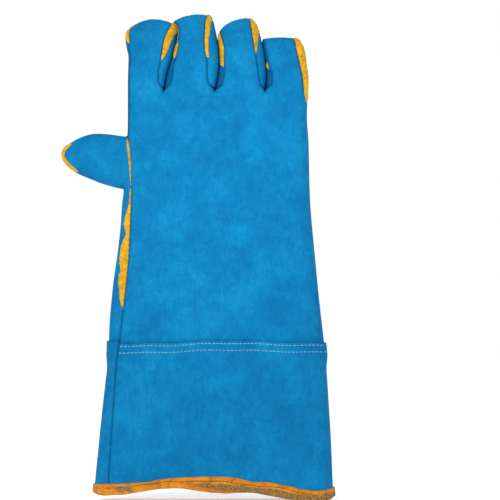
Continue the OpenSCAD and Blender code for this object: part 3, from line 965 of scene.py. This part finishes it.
def tape(name):
    """Orange hem tape, with a tan raw stretch along its lower half towards the right."""
    m = Nodes(name)
    rest = m.attribute("rest")
    tone = m.noise(rest, 150, 5, 0.65, 0.5)
    fine = m.noise(m.mapped(rest, (1, 1, 1.6)), 1300, 3, 0.6)
    orange = m.ramp(tone,
                    [(0.3, (0.34, 0.1, 0.006)), (0.5, (0.56, 0.19, 0.009)), (0.72, (0.68, 0.28, 0.022))])
    raw = m.ramp(m.noise(rest, 800, 4, 0.8),
                 [(0.34, (0.06, 0.028, 0.007)), (0.5, (0.22, 0.12, 0.03)), (0.7, (0.42, 0.25, 0.07))])
    place = m.new("SeparateXYZ")
    m.put(place.inputs[0], rest)
    x = place.outputs["X"]
    band = m.math("ADD", m.attribute("band", "Fac"), m.math("MULTIPLY", m.noise(rest, 140, 4, 0.7), 0.5))
    below = m.fade(band, 0.76, 0.86, 1.0, 0.0)
    slope = m.math("ADD", m.math("MULTIPLY", x, 7.5), band)
    past = m.math("MULTIPLY", m.fade(slope, 0.5, 0.6), m.fade(x, -0.012, 0.004))
    colour = m.mix(m.math("MULTIPLY", below, past), orange, raw)
    colour = m.mix(m.fade(fine, 0.5, 0.8, 0.0, 0.3), colour, (0.72, 0.34, 0.06))
    normal = m.bump(tone, 0.0012, 0.6)
    normal = m.bump(fine, 0.0005, 0.8, normal)
    return m.finish(colour, normal, 0.88, 0.12, (1, 0.7, 0.4), 0.2)


def thread(name, colour, dark):
    """Twisted sewing thread."""
    m = Nodes(name)
    rest = m.attribute("rest")
    twist = m.noise(m.mapped(rest, (1, 1, 2)), 2400, 2, 0.5)
    shade = m.mix(m.fade(twist, 0.35, 0.65), dark, colour)
    return m.finish(shade, m.bump(twist, 0.0003, 0.8), 0.6, 0.2, colour, 0.35)


def canvas(name):
    """A plain weave of unbleached cotton."""
    m = Nodes(name)
    rest = m.attribute("rest")
    waves = [m.new("TexWave", wave_type="BANDS", bands_direction=way, Scale=300, Distortion=0.6, Detail=1.0)
             for way in "XZ"]
    for wave in waves:
        m.put(wave.inputs["Vector"], rest)
    weave = m.math("MULTIPLY", *(wave.outputs["Fac"] for wave in waves))
    stain = m.noise(rest, 40, 4, 0.6)
    colour = m.mix(m.fade(weave, 0.1, 0.7), (0.42, 0.36, 0.27), (0.74, 0.69, 0.58))
    colour = m.mix(m.fade(stain, 0.45, 0.75, 0.0, 0.3), colour, (0.5, 0.44, 0.36))
    return m.finish(colour, m.bump(weave, 0.0006, 0.8), 0.9, 0.2, (0.9, 0.88, 0.8), 0.2)


def fleece(name):
    """Brushed cotton pile, in small tufts."""
    m = Nodes(name)
    rest = m.attribute("rest")
    tufts = m.new("TexVoronoi", Scale=420, Randomness=1.0)
    m.put(tufts.inputs["Vector"], rest)
    curl = m.noise(rest, 900, 4, 0.7)
    colour = m.mix(m.fade(tufts.outputs["Distance"], 0.1, 0.8), (0.8, 0.77, 0.7), (0.55, 0.51, 0.44))
    normal = m.bump(m.math("SUBTRACT", curl, tufts.outputs["Distance"]), 0.0016, 0.9)
    return m.finish(colour, normal, 0.95, 0.5, (0.95, 0.93, 0.88), 0.1)


BLUE = suede("blue_suede", (0.0014, 0.107, 0.305), (0.0024, 0.182, 0.422), (0.0056, 0.279, 0.556))
# A darker copy of the blue suede: painted shade, used for the saddles deep in the gaps between the fingers
SHADED_BLUE = suede("shaded_suede", (0.002, 0.05, 0.18), (0.004, 0.11, 0.32), (0.01, 0.2, 0.48))
YELLOW = welting("yellow_welting", (0.4, 0.19, 0.002), (0.62, 0.32, 0.003), (0.76, 0.45, 0.015))
# A darker, duller copy of the yellow welting: painted shade for the upper welt at the thumb's root, which
# lies in shade
SHADED_YELLOW = welting("worn_welting", (0.24, 0.18, 0.04), (0.42, 0.3, 0.05), (0.55, 0.44, 0.12))
PALE_YELLOW = thread("yellow_thread", (0.88, 0.64, 0.2), (0.66, 0.42, 0.06))
ORANGE = tape("orange_hem_tape")
PALE_THREAD = thread("pale_cyan_thread", (0.3, 0.57, 0.68), (0.06, 0.29, 0.46))
DARK_THREAD = thread("dark_thread", (0.14, 0.06, 0.02), (0.05, 0.02, 0.008))
GREY_THREAD = thread("grey_teal_thread", (0.2, 0.27, 0.22), (0.06, 0.1, 0.1))
CANVAS = canvas("cotton_canvas")
FLEECE = fleece("cotton_fleece")

# ---------------------------------------------------------------- pieces


def over_wrist(piece):
    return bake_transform(piece)


def over_knuckle(piece):
    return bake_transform(piece)


def over_thumb(piece):
    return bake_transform(piece)


def on_gauntlet(piece):
    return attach(piece, "gauntlet")


def leather(name, grids, source=skin):
    shell = Shell()
    for g in grids:
        shell.sheet(source.grids[g], source.normals[g], seam=source.seams[g])
    return shell.piece(name, BLUE, "blue_leather")


# Each panel of the trunk and the thumb: its grids, their source, what carries it and the nodes it replaces
PANELS = {
    "back_panel": (["hand_back", "hand_right"], skin, over_wrist, ["wrist_back_panel", "hand_back_panel"]),
    "palm_panel": (["hand_palm", "hand_left_lower", "hand_left_upper"], skin, over_wrist,
                   ["wrist_palm_panel", "hand_palm_panel"]),
    "gauntlet_back": (["back", "right"], lower, on_gauntlet, ["gauntlet_back_panel"]),
    "gauntlet_palm": (["palm", "left"], lower, on_gauntlet, ["gauntlet_palm_panel"]),
    "thumb_back": (["thumb_back"], skin, over_thumb, ["thumb_back", "thumb_base_back"]),
    "thumb_palm": (["thumb_palm"], skin, over_thumb, ["thumb_palm", "thumb_base_palm"]),
}


def shade_wall_foot(wall):
    """Writes how much painted shade each point of a side wall gets, from 0 to 1: most at its foot, deep in
    the gap between two fingers.
    """
    place = np.empty(len(wall.data.vertices) * 3, np.float32)
    wall.data.vertices.foreach_get("co", place)
    z = place[2::3] / MM
    depth = 1 - 0.3 * smoothstep(CUT_Z + 4, CUT_Z + 9, z) - 0.7 * smoothstep(CUT_Z + 17, CUT_Z + 26, z)
    write_attribute(wall, "hollow", depth)


def finger_leather(f):
    """A finger's panels and side walls. The outermost walls belong to the panels beside them."""
    grids = {"back": [f.name + "_back"], "palm": [f.name + "_palm"]}
    for side in ("left_wall", "right_wall"):
        if f is first_finger and side == "left_wall":
            grids["palm"].append(f"{f.name}_{side}")
        elif f is last_finger and side == "right_wall":
            grids["back"].append(f"{f.name}_{side}")
        else:
            grids[side] = [f"{f.name}_{side}"]
    for part in ("left_wall", "right_wall", "back", "palm"):
        if part not in grids:
            continue
        piece = leather(f"leather_{f.name}_{part}", grids[part])
        # A left wall gets painted shade at its foot, deep in the gap beside the finger to its left
        if part == "left_wall":
            shade_wall_foot(piece)
        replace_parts(over_knuckle(piece), f"{f.name}_{part}")


def loop_grid(rows_z, raised, steps=90):
    """A closed band round the gauntlet. A row is the heights of its columns, and how far it stands off."""
    s = loop_shares(steps)
    foot = left_edge(0) + (right_edge(0) - left_edge(0)) * s
    z = np.stack([height(foot) for height in rows_z])
    x = left_edge(z) + (right_edge(z) - left_edge(z)) * s[None]
    lifts = np.broadcast_to(np.asarray(raised)[:, None], x.shape)
    back = surface(x, z, BACK, lifts)[:, ::-1]
    return np.concatenate([surface(x, z, FRONT, lifts), back[:, 1:]], 1)


def loop_normals(grid):
    """Outward normals of a closed band whose last column repeats its first."""
    wide = np.concatenate([grid[:, -2:-1], grid, grid[:, 1:2]], 1)
    n = np.cross(wide[:, 2:] - wide[:, :-2], np.gradient(grid, axis=0))
    return n / (np.linalg.norm(n, axis=-1)[..., None] + 1e-9)


def lined(grid):
    """Works out a lining's girth and height, and its area up to girth times height, and keeps none of them.
    """
    girth = float(np.mean([length_of(row) for row in grid])) * MM
    height = float(np.mean([length_of(column) for column in grid.transpose(1, 0, 2)])) * MM
    across, up = np.diff(grid, axis=1)[:-1], np.diff(grid, axis=0)[:, :-1]
    area = float(np.linalg.norm(np.cross(across, up), axis=-1).sum()) * MM * MM
    area = min(area, girth * height)


def fleece_tube(name, flat):
    """A closed sleeve of fleece inside the leather. Its front and back share a grid of flat points."""
    front = surface(flat[..., 0], flat[..., 1], FRONT, -LINING_DEEP)
    back = surface(flat[..., 0], flat[..., 1], BACK, -LINING_DEEP)[:, ::-1]
    grid = np.concatenate([front, back, front[:, :1]], 1)
    shell = Shell()
    shell.sheet(grid, loop_normals(grid), FLEECE_THICK)
    piece = shell.piece(name, FLEECE, "fleece_lining")
    lined(grid)
    return piece


def linings():
    z = rows(UNDERLAP_Z + 1, THUMB_LOW_Z, THUMB_HIGH_Z, CUT_Z - 7, step=3.5)
    clear = LINING_IN + 5 * smoothstep(248, 258, z) * (1 - smoothstep(308, 318, z))
    share = gathered(48)
    left, right = left_edge(z) + clear, right_edge(z) - LINING_IN
    x = left[:, None] + (right - left)[:, None] * share
    hand = fleece_tube("fleece_hand", np.stack([x, np.broadcast_to(z[:, None], x.shape)], -1))
    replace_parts(over_wrist(hand), "hand_lining")
    inner = inward(thumb_line, np.full(len(thumb_line), THUMB_LINING_IN))
    thumb = fleece_tube("fleece_thumb", sleeve(inner, 0.1, 0.9, (0.4, 0.62), 12))
    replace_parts(over_thumb(thumb), "thumb_lining")
    for f in FINGERS:
        inner = inward(f.edge, np.full(len(f.edge), LINING_IN))
        low, high = (0.1, 0.9) if f.name in ("middle", "ring") else (0.14, 0.86)
        tube = fleece_tube(f"fleece_{f.name}", sleeve(inner, low, high, f.corners, 18))
        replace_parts(over_knuckle(tube), f.name + "_lining")


def sleeve(outline, low, high, corners, steps):
    """Flat points filling an outline from its mouth, between shares low and high, to its tip."""
    across = np.linspace(0, 1, 2 * steps + 1)
    left = at_index(outline, np.linspace(low, corners[0], steps + 1))
    right = at_index(outline, np.linspace(high, corners[1], steps + 1))
    tip = at_index(outline, corners[0] + (corners[1] - corners[0]) * across)
    return coons(left[0] + (right[0] - left[0]) * across[:, None], left, tip, right, across)


# The hem tape's cross-section: shares of the way up it, and how far it stands off the leather
HEM_SECTION = [(0.86, -2.9), (0.8, -3.4), (0.3, -3.5), (0.06, -3.0), (-0.02, -1.2), (-0.02, 0.6),
               (0.02, 1.5), (0.14, 1.9), (0.36, 1.8), (0.62, 1.75), (0.9, 1.65), (1.0, 1.0), (1.02, 0.1)]


def between(share):
    """Heights in the hem tape, by their share of the way up it."""
    return lambda x: hem_z(x, hem_low) * (1 - share) + hem_z(x, hem_high) * share


def hem_tape():
    """The tape folded over the hem: up the inside, under the edge and up the outside."""
    grid = loop_grid([between(share) for share, _ in HEM_SECTION], [lift for _, lift in HEM_SECTION], 120)
    n = loop_normals(grid)
    wobble = np.array([noise.noise(Vector(p / 9)) * 0.35 + noise.noise(Vector(p / 3)) * 0.18
                       for p in grid.reshape(-1, 3)]).reshape(grid.shape[:2])
    grid = grid + n * wobble[..., None]
    grid[:, -1] = grid[:, 0]
    ids = np.arange(grid[..., 0].size).reshape(grid.shape[:2])
    ids[:, -1] = ids[:, 0]
    tape_piece = link("tape_hem", grid.reshape(-1, 3), quads(ids).tolist(), ORANGE)
    write_attribute(tape_piece, "band", np.repeat([share for share, _ in HEM_SECTION], grid.shape[1]))
    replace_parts(on_gauntlet(tape_piece), "hem_binding")


def canvas_lining():
    """The gauntlet's lining, from just above the hem's edge to just below the wrist."""
    heights = np.linspace(0, 1, CANVAS_ROWS)
    grid = loop_grid([lambda x, h=h: hem_z(x) + 3 + (WRIST_Z - 8 - hem_z(x) - 3) * h for h in heights],
                     np.full(CANVAS_ROWS, -CANVAS_DEEP), 70)
    shell = Shell()
    shell.sheet(grid, loop_normals(grid), CANVAS_THICK)
    piece = shell.piece("canvas_gauntlet_lining", CANVAS, "canvas_lining")
    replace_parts(over_wrist(piece), "gauntlet_lining")
    lined(grid)


# A welt's cross-section: places across half its width, and heights over the leather as shares of its own
WELT_SECTION = [(1, -0.1), (0.93, 0.5), (0.7, 0.85), (0.35, 1), (0, 1.05), (-0.35, 1), (-0.7, 0.85),
                (-0.93, 0.5),
                (-1, -0.1), (-0.8, -0.6), (0.8, -0.6)]
WELT_STEPS_PER_MM = 0.8


def across_line(path):
    """Unit vectors that cross a flat line, from its left to its right."""
    way = np.gradient(path, axis=0)
    way /= np.linalg.norm(way, axis=1)[:, None] + 1e-9
    return np.stack([way[:, 1], -way[:, 0]], -1)


def welt(name, line, side, widths, material=YELLOW):
    """A tapered strip that follows the leather along a flat line; widths are (share, width) pairs."""
    count = max(6, int(length_of(line) * WELT_STEPS_PER_MM))
    path = along(line, count)
    share = np.linspace(0, 1, count + 1)
    taper = np.clip(np.minimum(share, 1 - share) * length_of(line) / 2, 0.2, 1)
    wave = 1 + 0.05 * np.sin(share * length_of(line) * 1.3)
    wide = table(widths, share) * taper * wave
    high = np.minimum(1.2, 0.25 + 0.3 * wide) * taper
    across = across_line(path) * (1 if side == FRONT else -1)
    places, lifts = np.array(WELT_SECTION).T
    flat = path[:, None] + across[:, None] * (0.5 * places * wide[:, None])[..., None]
    p, n = on_surface(flat.reshape(-1, 2), side)
    verts = p + n * (high[:, None] * lifts).reshape(-1, 1)
    return link("welt_" + name, verts, tube_faces(count + 1, len(lifts), flip=True), material)


def whip_stitches(f, low, high, widths, pitch=1.5, radius=0.42):
    """Slanting stitches over a finger's welt, between two shares of its seam."""
    seam = at_index(f.seam, np.linspace(low, high, 60))
    seam = along(seam, int(length_of(seam) / pitch))
    wide = table(widths, np.linspace(0, 1, len(seam)))
    out = -across_line(seam)
    p, n = on_surface(np.vstack([seam + out * 0.2, seam + out * wide[:, None]]), FRONT)
    inner, outer = np.split(p, 2)
    inner_n, outer_n = np.split(n, 2)
    pile = Pile()
    for a, an, b, bn in zip(inner[:-1], inner_n[:-1], outer[1:], outer_n[1:]):
        top = (a + b) / 2 + (an + bn) * 0.65
        path = [a + an * 0.2, (a + top) / 2 + an * 0.35, top, (b + top) / 2 + bn * 0.35, b + bn * 0.2]
        pile.add(*thread_tube(path, radius))
    over_knuckle(pile.piece(f"thread_{f.name}_whip", PALE_YELLOW))


def finger_welts(f, left, right, tail=None):
    """left and right are (from, to, widths): shares of the seam, and the welt's widths just outside it.

    tail is a flat line that the right welt runs on along, below the finger.
    """
    for side, (low, high, widths) in (("left", left), ("right", right)):
        seam = at_index(f.seam, np.linspace(low, high, 60))
        if tail is not None and side == "right":
            seam = along(np.vstack([seam, tail]), 59)
        line = inward(seam, -0.5 * table(widths, np.linspace(0, 1, 60)))
        piece = welt(f"{f.name}_{side}", line, FRONT, widths)
        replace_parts(over_knuckle(piece), f"{f.name}_{side}_welt")


# Each finger's left and right welt: the shares of its seam from and to, and its widths along that stretch
FINGER_WELTS = {
    "index": ((0.255, 0.41, [(0, 1), (0.25, 3), (0.5, 2.8), (0.62, 1.2), (1, 0.9)]),
              (0.6, 0.865, [(0, 0.8), (0.15, 4.2), (0.3, 6), (0.6, 5.8), (0.77, 4.4), (0.92, 2.6), (1, 1)])),
    "middle": ((0.165, 0.45, [(0, 1.4), (0.08, 2.6), (0.24, 2.4), (0.3, 0.3), (0.66, 0.3), (0.74, 1),
                              (1, 0.9)]),
               (0.57, 0.845, [(0, 1.5), (0.1, 3.8), (0.28, 4.8), (0.45, 4.2), (0.65, 3.6), (0.85, 3),
                              (1, 2.4)])),
    "ring": ((0.128, 0.34, [(0, 1.2), (0.15, 3), (0.5, 3.6), (0.75, 2.8), (1, 1.2)]),
             (0.52, 0.8, [(0, 0.8), (0.2, 3), (0.35, 6), (0.48, 6.2), (0.62, 4.8), (0.78, 3.2), (0.9, 2),
                          (1, 0.8)])),
    "little": ((0.13, 0.185, [(0, 1), (0.5, 1.7), (1, 1)]),
               (0.57, 1, [(0, 1), (0.1, 4.6), (0.2, 6.8), (0.3, 6.8), (0.39, 5.9), (0.54, 5.1), (0.65, 4.6),
                          (0.75, 3.9), (0.85, 3), (0.93, 2.2), (1, 0.8)])),
}
# The little finger's right welt runs on below the finger and tapers towards the edge
TAIL_END_Z = CUT_Z - 9
tail_z = np.linspace(CUT_Z - 0.5, TAIL_END_Z, 10)
tail_in = table([(TAIL_END_Z, 1), (CUT_Z, RIGHT_SEAM_IN)], tail_z)
little_tail = np.stack([right_edge(tail_z) - tail_in, tail_z], -1)

# The lower thumb-side welt: heights down the seam, and its widths there
LOWER_WELT = [(262, 1), (256, 1.2), (250, 1.6), (247, 1.9), (243.6, 2.9), (237, 4.5), (232, 5.3), (227, 4),
              (223, 2.9), (218, 5.1), (211, 7.1), (205, 7.4), (199, 7.1), (193, 5.6), (189, 6.7), (183, 6.7),
              (177, 5), (170, 4), (164.5, 2.2), (161.3, 0.8)]


def hand_welts():
    line = smooth_line([(-55.9, 263), (-56.1, 274), (-56.6, 284), (-57.6, 294), (-59, 303.5)])
    widths = [(0, 0.8), (0.25, 1.3), (0.5, 2.3), (0.85, 2.4), (1, 1.6)]
    # The upper welt at the thumb's root takes the darker copy of the welting, as painted shade
    piece = welt("thumb_side_upper", line, FRONT, widths, SHADED_YELLOW)
    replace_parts(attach(piece, "hand"), "thumb_side_upper_welt")
    z = np.linspace(LOWER_WELT[0][0], LOWER_WELT[-1][0], 90)
    wide = table(LOWER_WELT[::-1], z)
    line = np.stack([left_seam(z) - 0.5 * wide, z], -1)
    piece = welt("thumb_side_lower", line, FRONT, list(zip(np.linspace(0, 1, len(z)), wide)))
    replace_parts(over_wrist(piece), "thumb_side_lower_welt", "wrist_side_welt")
    piece = welt("little_side", line_at(back_right, np.linspace(338, 232, 60)), BACK, [(0, 2), (1, 2)])
    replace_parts(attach(piece, "hand"), "little_side_welt")
    line = at_index(thumb_line, np.linspace(0.33, 0.61, 80))
    line = inward(line, np.full(len(line), 1.5))
    piece = welt("thumb_tip", line, FRONT, [(0, 2), (0.2, 2.7), (0.8, 2.6), (1, 1.6)])
    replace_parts(over_thumb(piece), "thumb_tip_welt")


def stitch_row(pile, start_x, end_x, height, side, raised, pitch=3.2, size=1.7, radius=0.3):
    """A row of lockstitches round the gauntlet."""
    start = np.arange(start_x, end_x, pitch)
    uneven = np.array([noise.noise(Vector((x, side * 7, 3.1))) for x in start])
    start = start + 0.5 * uneven
    ends = np.stack([start, start + size * (1 + 0.3 * uneven)], -1).ravel()
    p, n = on_surface(np.stack([ends, height(ends)], -1), side, raised)
    p = p + n * 0.1
    for a, b, up in zip(p[::2], p[1::2], n[::2]):
        pile.add(*capsule(a, b, radius, 0.8, up))


def hem_stitch_z(x):
    """The hem's stitch line, which wanders along the tape."""
    return between(0.7)(x) + 0.5 * np.sin(x / 9) + 0.3 * np.sin(x / 3.7 + 2)


def seams_of_thread():
    lap = Pile()
    for z in SEAM_ROWS:
        lift = float(raised_lap(z))

        def row(x, below=LAP_Z - z):
            return lap_line(x) - below

        def row_palm(x, below=LAP_Z - z):
            return lap_line_palm(x) - below

        stitch_row(lap, left_seam(z) + 1.5, right_edge(z) - 1.5, row, FRONT, lift)
        stitch_row(lap, palm_left(z), right_edge(z) - 4, row_palm, BACK, lift)
    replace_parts(on_gauntlet(lap.piece("thread_lap_seam", PALE_THREAD)), "lap_seam_threads")
    hem = Pile()
    for side in (FRONT, BACK):
        stitch_row(hem, -84, 110, hem_stitch_z, side, raised=1.75, pitch=3.7, size=3.1, radius=0.24)
    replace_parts(on_gauntlet(hem.piece("thread_hem", DARK_THREAD)), "hem_thread")


def loose_thread():
    """A small tangle of thread ends caught under the hem's stitches."""
    tangle = Pile()
    t = np.linspace(0, 1, 40)
    for strand in range(4):
        x = -61.5 + 8 * np.sin(2.2 * t * (1 + 0.3 * strand) + 1.7 * strand) * (0.6 + 0.4 * t)
        z = 11 + 1.7 * np.sin(5.3 * t + 2.3 * strand) + 0.6 * np.sin(17 * t + strand)
        p, n = on_surface(np.stack([x, z], -1), FRONT, 1.9)
        lift = 0.25 + 0.35 * np.abs(np.sin(7 * t + strand))
        tangle.add(*thread_tube(p + n * lift[:, None], 0.26))
    on_gauntlet(tangle.piece("thread_loose_ends", GREY_THREAD))


# A saddle's half width, how far it lies under the crotch, rises to the sides and falls to front and back
SADDLE_HALF, SADDLE_DROP, SADDLE_RISE, SADDLE_FALL = 4.6, 1.2, 5.5, 1.6


def crotch(name, place, node):
    """The small saddle of leather at the bottom of the gap between two fingers, made of the darker suede
    copy as painted shade.
    """
    x0, z0 = place
    a, b = np.meshgrid(np.linspace(-1, 1, 13), np.linspace(-1, 1, 15), indexing="ij")
    depth = table(DEPTH, z0) * 0.62
    z = z0 - SADDLE_DROP + SADDLE_RISE * b * b - SADDLE_FALL * a * a
    grid = bent(np.stack([x0 + SADDLE_HALF * b, depth * a, z], -1))
    n = np.cross(np.gradient(grid, axis=1), np.gradient(grid, axis=0))
    n /= np.linalg.norm(n, axis=-1)[..., None]
    shell = Shell()
    # The small seam distance over the whole saddle gives all of it the suede's seam darkening, painted shade
    # and soil
    shell.sheet(grid, -n, 1.2, seam=0.6)
    piece = shell.piece(name, SHADED_BLUE, "blue_leather")
    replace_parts(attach(piece, "hand"), node)


for name, (grids, source, carried, nodes) in PANELS.items():
    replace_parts(carried(leather("leather_" + name, grids, source)), *nodes)
for f in FINGERS:
    finger_leather(f)
linings()
hem_tape()
canvas_lining()
hand_welts()
for f in FINGERS:
    finger_welts(f, *FINGER_WELTS[f.name], little_tail if f is last_finger else None)
whip_stitches(FINGERS[1], 0.69, 0.845, [(0, 3.8), (0.5, 3.2), (1, 2.4)])
whip_stitches(FINGERS[2], 0.135, 0.27, [(0, 2.6), (0.5, 3.6), (1, 3)])
seams_of_thread()
loose_thread()
for name, place in zip(("index_middle", "middle_ring", "ring_little"), CROTCHES):
    crotch("saddle_" + name, place, "crotch_" + name)

# ---------------------------------------------------------------- stage, light and camera

FRAME_SIDE = 0.42
CAMERA_X, CAMERA_Z = 0.0437, 0.21
LENS, SENSOR = 200.0, 36.0
# The floor's own faint light, which brings it to the backdrop's white
FLOOR_GLOW = 0.45
FLOOR_HALF, FLOOR_Z = 3.0, -0.0005
WORLD_LIGHT = 0.62
AIM = (0, 0, 0.2)


def plain(name, colour):
    m = Nodes(name)
    speck = m.noise(m.new("TexCoord").outputs["Object"], 40, 2)
    return m.finish(m.mix(speck, colour, scaled(colour, 0.985)), roughness=0.9)


def floor():
    mesh = bpy.data.meshes.new("floor")
    corners = [(x * FLOOR_HALF, y * FLOOR_HALF, 0) for x, y in ((-1, -1), (1, -1), (1, 1), (-1, 1))]
    mesh.from_pydata(corners, [], [(0, 1, 2, 3)])
    white = plain("pale_floor", (0.93, 0.93, 0.93))
    shader = white.node_tree.nodes["Principled BSDF"].inputs
    shader["Emission Color"].default_value = (1, 1, 1, 1)
    shader["Emission Strength"].default_value = FLOOR_GLOW
    mesh.materials.append(white)
    obj = bpy.data.objects.new("floor", mesh)
    obj.location.z = FLOOR_Z
    bpy.context.scene.collection.objects.link(obj)


def area_light(name, place, target, size, power):
    light = bpy.data.lights.new(name, "AREA")
    light.size = size
    light.energy = power
    obj = bpy.data.objects.new(name, light)
    obj.location = place
    obj.rotation_euler = (Vector(target) - Vector(place)).to_track_quat("-Z", "Y").to_euler()
    bpy.context.scene.collection.objects.link(obj)


def world():
    """White to the camera, and a weaker even light on everything else."""
    scene = bpy.context.scene
    scene.world = bpy.data.worlds.new("studio")
    scene.world.use_nodes = True
    tree = scene.world.node_tree
    back = tree.nodes["Background"]
    path = tree.nodes.new("ShaderNodeLightPath")
    shade = tree.nodes.new("ShaderNodeMapRange")
    shade.inputs["To Min"].default_value = WORLD_LIGHT
    shade.inputs["To Max"].default_value = 1.0
    tree.links.new(path.outputs["Is Camera Ray"], shade.inputs["Value"])
    tree.links.new(shade.outputs["Result"], back.inputs["Strength"])
    back.inputs["Color"].default_value = (1, 1, 1, 1)
    scene.view_settings.view_transform = "Standard"


def camera():
    scene = bpy.context.scene
    data = bpy.data.cameras.new("camera")
    data.lens, data.sensor_width = LENS, SENSOR
    data.clip_end = 50
    obj = bpy.data.objects.new("camera", data)
    obj.location = (CAMERA_X, -FRAME_SIDE * LENS / SENSOR, CAMERA_Z)
    obj.rotation_euler = (math.pi / 2, 0, 0)
    scene.collection.objects.link(obj)
    scene.camera = obj


floor()
world()
area_light("key", (-0.9, -1.5, 1.4), AIM, size=1.0, power=22)
area_light("fill", (1.2, -1.3, 0.8), AIM, size=1.2, power=7)
camera()
